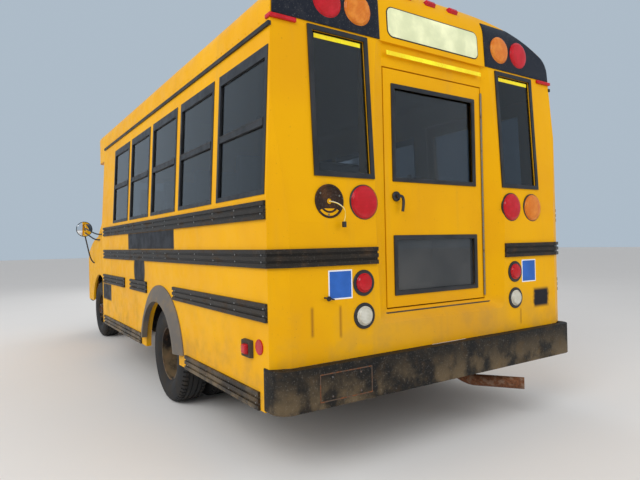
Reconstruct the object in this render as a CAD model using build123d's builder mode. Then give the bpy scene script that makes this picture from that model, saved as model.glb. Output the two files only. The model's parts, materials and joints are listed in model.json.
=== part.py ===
from build123d import *
from math import atan2, cos, degrees, radians, sin, sqrt
import os

os.makedirs("parts", exist_ok=True)

# Frame: +X forward, +Y to the vehicle's left, +Z up, origin on the ground under the middle.
# Stations along the vehicle are counted from the rear face of the bus body, in millimetres.

# Driving dimensions of the whole vehicle
OVERALL_LENGTH = 6290
REAR_BUMPER_REACH = 100
WHEELBASE = 3505
REAR_AXLE_STATION = 1810
TYRE_RADIUS = 365
HUB_Z = TYRE_RADIUS
BODY_REAR_X = -OVERALL_LENGTH / 2 + REAR_BUMPER_REACH
MOVING_GAP = 6

# Bus body shell
BODY_LENGTH = 3950
HALF_WIDTH = 1198
TUMBLEHOME = 50
WALL = 40
REAR_WALL = 50
SKIRT_Z = 361
REAR_BOTTOM_Z = 582
SILL_Z = 1420
ROOF_SPRING_Z = 2385
ROOF_EDGE_RADIUS = 140
ROOF_Z = 2740
CORNER_DEPTH = 45
CORNER_WIDTH = 98
REAR_BEND_Z = 1300
REAR_LEAN_Z = 2333
REAR_LEAN = 55
CAP_CURVE_Z = 2540
CAP_CURVE_DEPTH = 210
REAR_SPLIT = 54
REAR_PANEL_HALF = 1110
CAP_SPLIT = 215
HEADER_Z = 2262

# Floor and wheel boxes
FLOOR_Z = 790
FLOOR_THICKNESS = 40
HOUSING_RADIUS = 468
HOUSING_WALL = 8
HOUSING_INNER_Y = 622
ARCH_RADIUS = 418
FLARE_RADIUS = 527
FLARE_INNER_RADIUS = 405
FLARE_PROUD = 42
FLARE_FOOT_Z = 440

# Side windows
WINDOW_COUNT = 5
WINDOW_PITCH = 686
WINDOW_WIDTH = 609
WINDOW_START = 60
WINDOW_BOTTOM_Z = 1435
WINDOW_TOP_Z = 2176
SASH_Z = 1798
FRAME_BAR = 26
FRAME_TOP_BAR = 58
FRAME_DEPTH = 30
FRAME_PROUD = 4
GLASS = 6
GLASS_SET_BACK = 14

# Rear doorway and rear emergency door
DOOR_PLANE = 75
DOOR_THICKNESS = 40
DOOR_GAP = 8
DOOR_HALF_WIDTH = 415
DOOR_BOTTOM_Z = 812
DOOR_TOP_Z = 2190
RECESS_MOUTH = 32
RECESS_HALF_WIDTH = 572
RECESS_BOTTOM_Z = 712
RECESS_TOP_Z = 2333
RECESS_CORNER = 40
SURROUND_HALF_WIDTH = 552
DOOR_STOP = 22
DOOR_PANE_HALF_WIDTH = 344
UPPER_PANE_Z = (1552, 2094)
LOWER_PANE_Z = (891, 1213)

# Rear side windows
REAR_WINDOW_Y = (572, 912)
REAR_WINDOW_Z = (1560, 2296)
RUBBER_LAP = 26
RUBBER_PROUD = 9

# Rub rails
RAIL_HEIGHT = 92
RAIL_BASE = 4
RAIL_PROUD = 13
RIB_HEIGHT = 22

# Lift door in the right side
LIFT_START = 205
LIFT_WIDTH = 1070
LIFT_BOTTOM_Z = 640
LIFT_TOP_Z = 2235
LIFT_GAP = 10
LIFT_PANE_MARGIN = 90

# Lamps
LAMP_PANEL_Y = (452, 985)
LAMP_PANEL_Z = (2336, 2633)
LAMP_PANEL_PROUD = 5
BIG_LAMP_RADIUS = 89
SMALL_LAMP_RADIUS = 51
LAMP_PROUD = 16

# Rear bumper
BUMPER_HALF_WIDTH = 1204
BUMPER_Z = (330, 566)
BUMPER_CORNER = 85
BUMPER_RETURN = 95
BUMPER_SHEET = 10
PLATE_Y = 810
PLATE_SPACING = (177.8, 120.65)
PLATE_Z = 468
PLATE_HOLE_RADIUS = 3.5

# Chassis frame
RAIL_Y = 430
CHANNEL_HEIGHT = 160
CHANNEL_WIDTH = 66
CHANNEL_WALL = 8
FRAME_Z = 520
FRAME_FRONT_STATION = 6045
OUTRIGGER_HEIGHT = FLOOR_Z - FLOOR_THICKNESS - FRAME_Z - CHANNEL_HEIGHT
OUTRIGGER_WIDTH = 60

# Wheels
TYRE_WIDTH = 225
BEAD_TAPER = 26
BEAD_HEIGHT = 55
SHOULDER_WIDTH = 30
SHOULDER_HEIGHT = 42
RIM_RADIUS = 203
TWIN_SPACING = 262
REAR_OUTER_FACE_Y = 1160
FRONT_OUTER_FACE_Y = 985
KINGPIN_Y = 722
HUB_HOLE_COUNT = 8
HUB_HOLE_RING = 156
HUB_HOLE_RADIUS = 19
BEAD_SET_IN = 26
RIM_SHEET = 12
DISC_FLAT_RADIUS = 124
SPINDLE_RADIUS = 28
REAR_SPINDLE_RADIUS = 40
RUNNING_GAP = 0.5
DRUM_RADIUS = 112

# Van cab
CAB_HALF_WIDTH = 985
CAB_BELT_Z = 1290
CAB_TOP_HALF_WIDTH = 890
CAB_ROOF_Z = 2130
CAB_ROOF_CROWN = 45
CAB_BOTTOM_Z = 445
CAB_WALL = 46
CAB_FLOOR_Z = 760
COWL_STATION = 5400
COWL_Z = 1335
WINDSCREEN_TOP_STATION = 4730
WINDSCREEN_TOP_Z = 2075
NOSE_STATION = 6070
NOSE_TOP_Z = 1105
FIREWALL_STATION = 5260
FRONT_ARCH_RADIUS = 462
FRONT_HOUSING_INNER_Y = 505
BONNET_HALF_WIDTH = 800
BONNET_SHEET = 24

# Front cap of the bus body, over the cab
CAP_REACH = 560
CAP_LIP_Z = 2150
CAP_FRONT_HALF_WIDTH = 930
CAP_WALL = 34

# Entrance, two leaves in a flat right-hand surround
ENTRANCE_START = 3990
ENTRANCE_END = 4880
ENTRANCE_BOTTOM_Z = 430
ENTRANCE_TOP_Z = 2040
ENTRANCE_FACE_Y = 1045
ENTRANCE_THICKNESS = 38
LEAF_GAP = 9

# Driver's door
DRIVER_DOOR = ((3995, 500), (4730, 500), (4868, 700), (4868, 1720), (4600, 2010), (3995, 2010))
DRIVER_PANE = ((4090, 1330), (4790, 1330), (4790, 1690), (4570, 1925), (4090, 1925))
DRIVER_DOOR_TAPER = 10

# Seats
BENCH_PITCH = 715
BENCH_DEPTH = 400
BENCH_HEIGHT = 430
BENCH_BACK_HEIGHT = 520
BENCH_BACK_THICKNESS = 95
BENCH_PAD = 120
AISLE_HALF_WIDTH = 170
SEAT_WALL_GAP = 12

REAR_AXLE_X = BODY_REAR_X + REAR_AXLE_STATION
FRONT_AXLE_X = REAR_AXLE_X + WHEELBASE


def at(station):
    """Place along X of a station counted from the rear face of the body."""
    return BODY_REAR_X + station


def block(x_range, y_range, z_range):
    """Plain block between two corners, as a cutter or a limit."""
    with BuildPart() as made:
        with BuildSketch(Plane.XY.offset(z_range[0])):
            with BuildLine():
                Polyline(
                    (x_range[0], y_range[0]),
                    (x_range[1], y_range[0]),
                    (x_range[1], y_range[1]),
                    (x_range[0], y_range[1]),
                    close=True,
                )
            make_face()
        extrude(amount=z_range[1] - z_range[0])
    return made.part


def prism(points, y_range):
    """Side outline of (station, z) points, extruded across the vehicle."""
    with BuildPart() as made:
        with BuildSketch(Plane.XZ.offset(-y_range[1])):
            with BuildLine():
                Polyline(*[(at(s), z) for s, z in points], close=True)
            make_face()
        extrude(amount=y_range[1] - y_range[0])
    return made.part


def mirrored(solid):
    """The same piece on the other side of the vehicle."""
    return mirror(solid, about=Plane.XZ)


def body_section(grow, bottom):
    """Cross-section of the bus body: upright skirt, leaning window wall, roof of two radii."""
    half = HALF_WIDTH + grow
    edge_y = HALF_WIDTH - TUMBLEHOME - ROOF_EDGE_RADIUS
    rise = ROOF_Z - ROOF_SPRING_Z
    crown = (edge_y**2 + rise**2 - ROOF_EDGE_RADIUS**2) / (2 * (rise - ROOF_EDGE_RADIUS))
    crown_z = ROOF_Z - crown
    meet = degrees(atan2(ROOF_SPRING_Z - crown_z, edge_y))
    with BuildSketch() as section:
        with BuildLine():
            Line((0, bottom), (half, bottom))
            Line((half, bottom), (half, SILL_Z))
            Line((half, SILL_Z), (half - TUMBLEHOME, ROOF_SPRING_Z))
            CenterArc((edge_y, ROOF_SPRING_Z), ROOF_EDGE_RADIUS + grow, 0, meet)
            CenterArc((0, crown_z), crown + grow, meet, 90 - meet)
            Line((0, ROOF_Z + grow), (0, bottom))
        make_face()
        mirror(about=Plane.YZ)
    return section.sketch


def body_solid(grow, bottom, front):
    """Whole form of the bus body, with all its outlines moved out by grow."""
    lean_tail = REAR_LEAN + (CAP_CURVE_Z - REAR_LEAN_Z) * REAR_LEAN / (REAR_LEAN_Z - REAR_BEND_Z)
    with BuildPart() as made:
        with BuildSketch(Plane.YZ.offset(BODY_REAR_X - grow)):
            add(body_section(grow, bottom))
        extrude(amount=front + grow)
        with BuildSketch(Plane.XZ.offset(-2 * HALF_WIDTH)):
            with BuildLine():
                Polyline(
                    (at(-grow), 0),
                    (at(-grow), REAR_BEND_Z),
                    (at(lean_tail - grow), CAP_CURVE_Z),
                )
                TangentArc(
                    (at(lean_tail - grow), CAP_CURVE_Z),
                    (at(CAP_CURVE_DEPTH - grow), ROOF_Z + grow),
                    tangent=(lean_tail, CAP_CURVE_Z - REAR_BEND_Z),
                )
                Polyline(
                    (at(CAP_CURVE_DEPTH - grow), ROOF_Z + grow),
                    (at(CAP_CURVE_DEPTH - grow), ROOF_Z + 200),
                    (at(front), ROOF_Z + 200),
                    (at(front), 0),
                    (at(-grow), 0),
                )
            make_face()
        extrude(amount=4 * HALF_WIDTH, mode=Mode.INTERSECT)
        with BuildSketch(Plane.XY):
            with BuildLine():
                half = HALF_WIDTH + grow
                slant = grow * (sqrt(CORNER_DEPTH**2 + CORNER_WIDTH**2) - CORNER_WIDTH) / CORNER_DEPTH
                inner = HALF_WIDTH - CORNER_WIDTH + slant
                depth = CORNER_DEPTH - grow + (half - inner - CORNER_WIDTH) * CORNER_DEPTH / CORNER_WIDTH
                Polyline(
                    (at(-grow), -inner),
                    (at(-grow), inner),
                    (at(depth), half),
                    (at(front), half),
                    (at(front), -half),
                    (at(depth), -half),
                    close=True,
                )
            make_face()
        extrude(amount=2 * ROOF_Z, mode=Mode.INTERSECT)
    return made.part


def export(node, label):
    """Label a finished piece and write it."""
    node.part.label = label
    export_step(node.part, "parts/" + label + ".step")


outer = body_solid(0, SKIRT_Z, BODY_LENGTH)
inner = body_solid(-WALL, 0, BODY_LENGTH + 1)
interior = inner & block(
    (at(REAR_WALL), at(BODY_LENGTH + 1)), (-HALF_WIDTH, HALF_WIDTH), (0, ROOF_Z)
)
shell = outer - interior

# Wall plane of the side windows: leaning inboard above the sill
lean_angle = atan2(TUMBLEHOME, ROOF_SPRING_Z - SILL_Z)
LEFT_WALL = Plane(
    origin=(BODY_REAR_X, HALF_WIDTH, SILL_Z),
    x_dir=(-1, 0, 0),
    z_dir=(0, cos(lean_angle), sin(lean_angle)),
)


def slope(z):
    """Distance up the leaning wall from the sill to a height."""
    return (z - SILL_Z) / cos(lean_angle)


window_stations = [
    WINDOW_START + WINDOW_WIDTH / 2 + i * WINDOW_PITCH for i in range(WINDOW_COUNT)
]
window_height = slope(WINDOW_TOP_Z) - slope(WINDOW_BOTTOM_Z)
window_middle = (slope(WINDOW_TOP_Z) + slope(WINDOW_BOTTOM_Z)) / 2


def window_cutters(stations):
    """Window openings through the left wall."""
    with BuildPart() as made:
        with BuildSketch(LEFT_WALL.offset(-2 * WALL)):
            with Locations(*[(-s, window_middle) for s in stations]):
                Rectangle(WINDOW_WIDTH, window_height)
        extrude(amount=4 * WALL)
    return made.part


def arch_cutter(x, radius, y_range, bottom):
    """Round wheel arch that is open downwards."""
    with BuildPart() as made:
        with BuildSketch(Plane.XZ.offset(-y_range[1])):
            with Locations((x, HUB_Z)):
                Circle(radius)
            with Locations((x, (HUB_Z + bottom) / 2)):
                Rectangle(2 * radius, HUB_Z - bottom)
        extrude(amount=y_range[1] - y_range[0])
    return made.part


SIDE = (0, 2 * HALF_WIDTH)
ACROSS = (-2 * HALF_WIDTH, 2 * HALF_WIDTH)
side_zone = block(
    (at(REAR_SPLIT), at(BODY_LENGTH)), (REAR_PANEL_HALF, 2 * HALF_WIDTH), (0, HEADER_Z)
)
rear_arch = arch_cutter(REAR_AXLE_X, ARCH_RADIUS, (HALF_WIDTH - 2 * WALL, HALF_WIDTH + WALL), 0)
rear_windows_side = window_cutters(window_stations)
bumper_notch = block((at(-10), at(BUMPER_RETURN)), ACROSS, (0, REAR_BOTTOM_Z))

# Left side wall with five windows
with BuildPart() as side_wall_left:
    add(shell & side_zone)
    add(rear_windows_side, mode=Mode.SUBTRACT)
    add(rear_arch, mode=Mode.SUBTRACT)
    add(bumper_notch, mode=Mode.SUBTRACT)
export(side_wall_left, "side_wall_left")

# Right side wall with the lift doorway
lift_opening = block(
    (at(LIFT_START), at(LIFT_START + LIFT_WIDTH)),
    (-HALF_WIDTH - WALL, -HALF_WIDTH / 2),
    (LIFT_BOTTOM_Z, LIFT_TOP_Z),
)
right_stations = [s for s in window_stations if s - WINDOW_WIDTH / 2 > LIFT_START + LIFT_WIDTH]
with BuildPart() as side_wall_right:
    add(mirrored(shell & side_zone))
    add(mirrored(window_cutters(right_stations)), mode=Mode.SUBTRACT)
    add(mirrored(rear_arch), mode=Mode.SUBTRACT)
    add(bumper_notch, mode=Mode.SUBTRACT)
    add(lift_opening, mode=Mode.SUBTRACT)
export(side_wall_right, "side_wall_right")

# Roof
with BuildPart() as roof:
    add(
        shell
        & block(
            (at(CAP_SPLIT), at(BODY_LENGTH)),
            (-2 * HALF_WIDTH, 2 * HALF_WIDTH),
            (HEADER_Z, 2 * ROOF_Z),
        )
    )
export(roof, "roof")

# Rear wall: outer sections, recessed doorway and rear windows
recess_lean = REAR_LEAN / (REAR_LEAN_Z - RECESS_BOTTOM_Z)
doorway_half = DOOR_HALF_WIDTH + DOOR_GAP
doorway_z = (DOOR_BOTTOM_Z - DOOR_GAP, DOOR_TOP_Z + DOOR_GAP)


def rear_frame_box():
    """Door surround behind the recess."""
    return block(
        (at(REAR_WALL - 10), at(DOOR_PLANE + DOOR_THICKNESS + DOOR_STOP)),
        (-SURROUND_HALF_WIDTH, SURROUND_HALF_WIDTH),
        (FLOOR_Z, REAR_LEAN_Z + 40),
    )


with BuildPart() as recess:
    with BuildSketch(
        Plane(
            origin=(at(-RECESS_MOUTH), 0, RECESS_BOTTOM_Z),
            x_dir=(0, 1, 0),
            z_dir=(1, 0, -recess_lean),
        )
    ):
        with Locations((0, (RECESS_TOP_Z - RECESS_BOTTOM_Z) / 2)):
            RectangleRounded(
                2 * RECESS_HALF_WIDTH, RECESS_TOP_Z - RECESS_BOTTOM_Z, RECESS_CORNER
            )
    with BuildSketch(Plane(origin=(at(DOOR_PLANE), 0, 0), x_dir=(0, 1, 0), z_dir=(1, 0, 0))):
        with Locations((0, (doorway_z[0] + RECESS_TOP_Z) / 2)):
            RectangleRounded(2 * doorway_half, RECESS_TOP_Z - doorway_z[0], RECESS_CORNER / 2)
    loft(ruled=True)

rear_window_zone = block((at(-50), at(200)), REAR_WINDOW_Y, REAR_WINDOW_Z)
with BuildPart() as rear_wall:
    add((outer & block((at(-1), at(REAR_SPLIT)), ACROSS, (0, 2 * ROOF_Z))) - interior)
    add((outer & block((at(-1), at(CAP_SPLIT)), ACROSS, (HEADER_Z, 2 * ROOF_Z))) - interior)
    add(
        (outer & block((at(-1), at(CAP_SPLIT)), (-REAR_PANEL_HALF, REAR_PANEL_HALF), (REAR_BEND_Z, HEADER_Z)))
        - interior
    )
    add(rear_frame_box() & inner)
    add(recess.part, mode=Mode.SUBTRACT)
    add(
        block(
            (at(DOOR_PLANE - 5), at(DOOR_PLANE + DOOR_THICKNESS + DOOR_GAP)),
            (-doorway_half, doorway_half),
            doorway_z,
        ),
        mode=Mode.SUBTRACT,
    )
    add(
        block(
            (at(DOOR_PLANE), at(CAP_SPLIT)),
            (-doorway_half + DOOR_STOP, doorway_half - DOOR_STOP),
            (doorway_z[0], doorway_z[1] - DOOR_STOP),
        ),
        mode=Mode.SUBTRACT,
    )
    add(rear_window_zone, mode=Mode.SUBTRACT)
    add(mirrored(rear_window_zone), mode=Mode.SUBTRACT)
    add(block((at(-10), at(REAR_SPLIT + 1)), ACROSS, (0, REAR_BOTTOM_Z)), mode=Mode.SUBTRACT)
export(rear_wall, "rear_wall")

# Floor between the walls, cut out over the twin wheels
with BuildPart() as wheel_housings:
    with BuildSketch(Plane.XZ.offset(-(HALF_WIDTH - WALL))):
        with Locations((REAR_AXLE_X, HUB_Z)):
            Circle(HOUSING_RADIUS)
            Circle(HOUSING_RADIUS - HOUSING_WALL, mode=Mode.SUBTRACT)
        with Locations((REAR_AXLE_X, 0)):
            Rectangle(4 * HOUSING_RADIUS, 2 * (FLOOR_Z - 2 * FLOOR_THICKNESS), mode=Mode.SUBTRACT)
    extrude(amount=HALF_WIDTH - WALL - HOUSING_INNER_Y)
    with BuildSketch(Plane.XZ.offset(-HOUSING_INNER_Y)):
        with Locations((REAR_AXLE_X, HUB_Z)):
            Circle(HOUSING_RADIUS)
        with Locations((REAR_AXLE_X, 0)):
            Rectangle(4 * HOUSING_RADIUS, 2 * (FLOOR_Z - 2 * FLOOR_THICKNESS), mode=Mode.SUBTRACT)
    extrude(amount=HOUSING_WALL)
    mirror(about=Plane.XZ)
export(wheel_housings, "wheel_housings")

housing_envelope = arch_cutter(
    REAR_AXLE_X, HOUSING_RADIUS, (HOUSING_INNER_Y - HOUSING_WALL, HALF_WIDTH), 0
)
with BuildPart() as floor_deck:
    add(
        block(
            (at(REAR_WALL), at(BODY_LENGTH)),
            (-HALF_WIDTH + WALL, HALF_WIDTH - WALL),
            (FLOOR_Z - FLOOR_THICKNESS, FLOOR_Z),
        )
    )
    add(rear_wall.part, mode=Mode.SUBTRACT)
    add(side_wall_left.part, mode=Mode.SUBTRACT)
    add(side_wall_right.part, mode=Mode.SUBTRACT)
    add(housing_envelope, mode=Mode.SUBTRACT)
    add(mirrored(housing_envelope), mode=Mode.SUBTRACT)
    add(
        block(
            (at(LIFT_START), at(LIFT_START + LIFT_WIDTH)),
            (-HALF_WIDTH, -HALF_WIDTH + WALL + 20),
            (0, ROOF_Z),
        ),
        mode=Mode.SUBTRACT,
    )
export(floor_deck, "floor_deck")

# Split-sash side window frames, and their panes


def window_frames_for(stations):
    """Black frames with a thick top bar and a middle rail, one solid each."""
    low = slope(WINDOW_BOTTOM_Z) + FRAME_BAR
    high = slope(WINDOW_TOP_Z) - FRAME_TOP_BAR
    with BuildPart() as made:
        with BuildSketch(LEFT_WALL.offset(-FRAME_DEPTH)):
            for s in stations:
                with Locations((-s, window_middle)):
                    Rectangle(WINDOW_WIDTH, window_height)
                with Locations((-s, (low + high) / 2)):
                    Rectangle(WINDOW_WIDTH - 2 * FRAME_BAR, high - low, mode=Mode.SUBTRACT)
                with Locations((-s, slope(SASH_Z))):
                    Rectangle(WINDOW_WIDTH - 2 * FRAME_BAR, FRAME_BAR)
        extrude(amount=FRAME_DEPTH + FRAME_PROUD)
    return made.part


def window_panes_for(stations):
    """Upper and lower pane of each side window."""
    low = slope(WINDOW_BOTTOM_Z) + FRAME_BAR
    high = slope(WINDOW_TOP_Z) - FRAME_TOP_BAR
    rail = slope(SASH_Z)
    spans = [(low, rail - FRAME_BAR / 2), (rail + FRAME_BAR / 2, high)]
    with BuildPart() as made:
        with BuildSketch(LEFT_WALL.offset(-GLASS_SET_BACK)):
            for s in stations:
                for span in spans:
                    with Locations((-s, (span[0] + span[1]) / 2)):
                        Rectangle(WINDOW_WIDTH - 2 * FRAME_BAR, span[1] - span[0])
        extrude(amount=GLASS)
    return made.part


# Rubber surround and glass of the rear side windows, with the side frames in one node
rear_skin = body_solid(RUBBER_PROUD, SKIRT_Z, BODY_LENGTH) - outer
rubber_zone = block(
    (at(-50), at(CAP_SPLIT)),
    (REAR_WINDOW_Y[0] - RUBBER_LAP, REAR_WINDOW_Y[1] + RUBBER_LAP),
    (REAR_WINDOW_Z[0] - RUBBER_LAP, REAR_WINDOW_Z[1] + RUBBER_LAP),
)
pane_zone = block(
    (at(-50), at(CAP_SPLIT)),
    (REAR_WINDOW_Y[0], REAR_WINDOW_Y[1]),
    REAR_WINDOW_Z,
)
rear_pane = (body_solid(-GLASS, SKIRT_Z, BODY_LENGTH) - body_solid(-2 * GLASS, 0, BODY_LENGTH)) & pane_zone
rubber = (rear_skin & rubber_zone) - pane_zone
with BuildPart() as window_frames:
    add(window_frames_for(window_stations))
    add(mirrored(window_frames_for(right_stations)))
    add(rubber)
    add(mirrored(rubber))
export(window_frames, "window_frames")

# Rub rails: a base band with three ribs, following the body's outline
# columns: bottom z, start station, end station, wraps the rear corner
RAIL_TABLE = [
    (1312, 50, 3870, False),
    (1072, 50, 3870, True),
    (808, 50, 1490, False),
    (808, 2180, 2720, False),
    (808, 2940, 3900, False),
    (361, 146, 1247, False),
    (361, 2370, 3880, False),
]
RAIL_REAR_INNER_Y = 545
skins = {
    proud: body_solid(proud, SKIRT_Z, BODY_LENGTH) - outer for proud in (RAIL_BASE, RAIL_PROUD)
}


def rub_rail(bottom, start, end, wraps):
    """One rail on the left side."""
    reach = (at(start), at(end))
    low_y = HALF_WIDTH - WALL
    if wraps:
        reach = (at(-2 * RAIL_PROUD), at(end))
        low_y = RAIL_REAR_INNER_Y
    rib_pitch = (RAIL_HEIGHT - RIB_HEIGHT) / 2
    rail = skins[RAIL_BASE] & block(reach, (low_y, 2 * HALF_WIDTH), (bottom, bottom + RAIL_HEIGHT))
    for i in range(3):
        low = bottom + i * rib_pitch
        rail += skins[RAIL_PROUD] & block(reach, (low_y, 2 * HALF_WIDTH), (low, low + RIB_HEIGHT))
    return rail


rails_left = [rub_rail(*row) for row in RAIL_TABLE]
lift_margin = block(
    (at(LIFT_START - LIFT_GAP), at(LIFT_START + LIFT_WIDTH + LIFT_GAP)),
    (HALF_WIDTH - WALL, 2 * HALF_WIDTH),
    (LIFT_BOTTOM_Z - LIFT_GAP, LIFT_TOP_Z),
)
with BuildPart() as rub_rails:
    for rail in rails_left:
        add(rail)
        add(mirrored(rail - lift_margin))
export(rub_rails, "rub_rails")

# Rubber flares round the rear wheel arches
with BuildPart() as wheel_flares:
    with BuildSketch(Plane.XY.offset(HUB_Z)):
        with BuildLine():
            Polyline(
                (REAR_AXLE_X + FLARE_INNER_RADIUS, HALF_WIDTH),
                (REAR_AXLE_X + FLARE_INNER_RADIUS, HALF_WIDTH + FLARE_PROUD),
                (REAR_AXLE_X + FLARE_INNER_RADIUS + 32, HALF_WIDTH + FLARE_PROUD),
                (REAR_AXLE_X + FLARE_RADIUS, HALF_WIDTH + FLARE_PROUD / 5),
                (REAR_AXLE_X + FLARE_RADIUS, HALF_WIDTH),
                close=True,
            )
        make_face()
    revolve(axis=Axis((REAR_AXLE_X, 0, HUB_Z), (0, 1, 0)), revolution_arc=360)
    add(
        block(
            (REAR_AXLE_X - 2 * FLARE_RADIUS, REAR_AXLE_X + 2 * FLARE_RADIUS), SIDE, (-FLARE_RADIUS, FLARE_FOOT_Z)
        ),
        mode=Mode.SUBTRACT,
    )
    for rail in rails_left:
        add(rail, mode=Mode.SUBTRACT)
    mirror(about=Plane.XZ)
export(wheel_flares, "wheel_flares")

# Black warning lamp panels on the rear upper corners
with BuildPart() as lamp_panels:
    add(
        (body_solid(LAMP_PANEL_PROUD, SKIRT_Z, BODY_LENGTH) - outer)
        & block((at(-50), at(CAP_SPLIT - 60)), LAMP_PANEL_Y, LAMP_PANEL_Z)
    )
    mirror(about=Plane.XZ)
export(lamp_panels, "lamp_panels")


def rear_face_station(z):
    """Station of the rear face at a height."""
    if z <= REAR_BEND_Z:
        return 0
    return (z - REAR_BEND_Z) * REAR_LEAN / (REAR_LEAN_Z - REAR_BEND_Z)


def round_lens(y, z, radius, seat, depth=LAMP_PROUD):
    """Domed round lens on the rear face, standing on seat millimetres of backing."""
    plane_station = rear_face_station(z) - seat
    with BuildPart() as made:
        with BuildSketch(Plane(origin=(at(plane_station), y, z), x_dir=(0, 1, 0), z_dir=(-1, 0, 0))):
            Circle(radius)
        extrude(amount=depth, taper=12)
    return made.part


# columns: y, z, radius, seat on a panel
RED_LAMPS = [
    (807, 2469, BIG_LAMP_RADIUS, LAMP_PANEL_PROUD + 4),
    (-807, 2469, BIG_LAMP_RADIUS, LAMP_PANEL_PROUD + 4),
    (628, 1405, BIG_LAMP_RADIUS, 3),
    (-628, 1405, BIG_LAMP_RADIUS, 3),
    (644, 973, SMALL_LAMP_RADIUS, 10),
    (-644, 973, SMALL_LAMP_RADIUS, 10),
]
AMBER_LAMPS = [
    (604, 2469, BIG_LAMP_RADIUS, LAMP_PANEL_PROUD + 4),
    (-604, 2469, BIG_LAMP_RADIUS, LAMP_PANEL_PROUD + 4),
    (-853, 1405, BIG_LAMP_RADIUS, 3),
]
CLEAR_LAMPS = [
    (644, 797, SMALL_LAMP_RADIUS, 10),
    (-644, 797, SMALL_LAMP_RADIUS, 10),
]


def lens_group(rows):
    """All lenses of one colour, each cut flush to what it is seated on."""
    lenses = []
    for y, z, radius, seat in rows:
        lenses.append(round_lens(y, z, radius, -30, LAMP_PROUD + seat + 30) - outer - lamp_panels.part)
    return lenses


red_round = lens_group(RED_LAMPS)
amber_round = lens_group(AMBER_LAMPS)
clear_round = lens_group(CLEAR_LAMPS)

# Small rectangular clearance lamps along the rear header, and markers at the corners
CLEARANCE_Y = (-200, 0, 200)
CLEARANCE_Z = 2655
CLEARANCE_SIZE = (88, 34, 26)
with BuildPart() as red_lenses:
    for lens in red_round:
        add(lens)
    for y in CLEARANCE_Y:
        add(
            block(
                (at(30), at(140)),
                (y - CLEARANCE_SIZE[0] / 2, y + CLEARANCE_SIZE[0] / 2),
                (CLEARANCE_Z - CLEARANCE_SIZE[1] / 2, CLEARANCE_Z + CLEARANCE_SIZE[1] / 2),
            )
            - outer
        )
export(red_lenses, "red_lenses")
with BuildPart() as amber_lenses:
    for lens in amber_round:
        add(lens)
export(amber_lenses, "amber_lenses")

# Chassis frame: two channels, cross members and floor outriggers
frame_top = FRAME_Z + CHANNEL_HEIGHT
frame_rear = -REAR_BUMPER_REACH + BUMPER_SHEET
CROSS_STATIONS = (260, 1200, 2420, 3300, 4350, 5980)
OUTRIGGER_STATIONS = (170, 690, 1230, 2400, 3050, 3720)
with BuildPart() as chassis_frame:
    with BuildSketch(Plane.YZ.offset(at(frame_rear))):
        with Locations((RAIL_Y, FRAME_Z + CHANNEL_HEIGHT / 2)):
            Rectangle(CHANNEL_WIDTH, CHANNEL_HEIGHT)
        with Locations((RAIL_Y - CHANNEL_WALL, FRAME_Z + CHANNEL_HEIGHT / 2)):
            Rectangle(CHANNEL_WIDTH, CHANNEL_HEIGHT - 2 * CHANNEL_WALL, mode=Mode.SUBTRACT)
    extrude(amount=FRAME_FRONT_STATION - frame_rear)
    mirror(about=Plane.XZ)
    for s in CROSS_STATIONS:
        add(
            block(
                (at(s - 35), at(s + 35)),
                (-RAIL_Y - CHANNEL_WIDTH / 2 + CHANNEL_WALL, RAIL_Y + CHANNEL_WIDTH / 2 - CHANNEL_WALL),
                (FRAME_Z + CHANNEL_WALL, FRAME_Z + CHANNEL_HEIGHT / 2),
            )
        )
    for s in OUTRIGGER_STATIONS:
        add(
            block(
                (at(s - OUTRIGGER_WIDTH / 2), at(s + OUTRIGGER_WIDTH / 2)),
                (-HALF_WIDTH + WALL, HALF_WIDTH - WALL),
                (frame_top, frame_top + OUTRIGGER_HEIGHT),
            )
        )
    add(rear_wall.part, mode=Mode.SUBTRACT)
export(chassis_frame, "chassis_frame")


# Rear bumper: a bent channel with a top flange, closed round the corners


def bumper_plan(inset):
    """Plan outline of the rear bumper, rounded at its two rear corners."""
    half = BUMPER_HALF_WIDTH - inset
    rear = at(-REAR_BUMPER_REACH + inset)
    front = at(BUMPER_RETURN)
    corner = BUMPER_CORNER - inset
    with BuildSketch() as plan:
        with BuildLine():
            Line((front, -half), (rear + corner, -half))
            RadiusArc((rear + corner, -half), (rear, -half + corner), corner)
            Line((rear, -half + corner), (rear, half - corner))
            RadiusArc((rear, half - corner), (rear + corner, half), corner)
            Line((rear + corner, half), (front, half))
            Line((front, half), (front, -half))
        make_face()
    return plan.sketch


with BuildPart() as rear_bumper:
    with BuildSketch(Plane.XY.offset(BUMPER_Z[0])):
        add(bumper_plan(0))
    extrude(amount=BUMPER_Z[1] - BUMPER_Z[0])
    with BuildSketch(Plane.XY.offset(BUMPER_Z[0] - 1)):
        add(bumper_plan(BUMPER_SHEET))
    extrude(amount=BUMPER_Z[1] - BUMPER_Z[0] - BUMPER_SHEET + 1, mode=Mode.SUBTRACT)
    add(
        block((at(0), at(2 * BUMPER_RETURN)), (-1150, 1150), (0, 2 * BUMPER_Z[1])),
        mode=Mode.SUBTRACT,
    )
    with BuildSketch(
        Plane(origin=(at(-REAR_BUMPER_REACH - 1), PLATE_Y, PLATE_Z), x_dir=(0, 1, 0), z_dir=(1, 0, 0))
    ):
        with GridLocations(PLATE_SPACING[0], PLATE_SPACING[1], 2, 2):
            Circle(PLATE_HOLE_RADIUS)
    extrude(amount=BUMPER_SHEET + 2, mode=Mode.SUBTRACT)
    add(outer - bumper_notch, mode=Mode.SUBTRACT)
    add(chassis_frame.part, mode=Mode.SUBTRACT)
export(rear_bumper, "rear_bumper")

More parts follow.
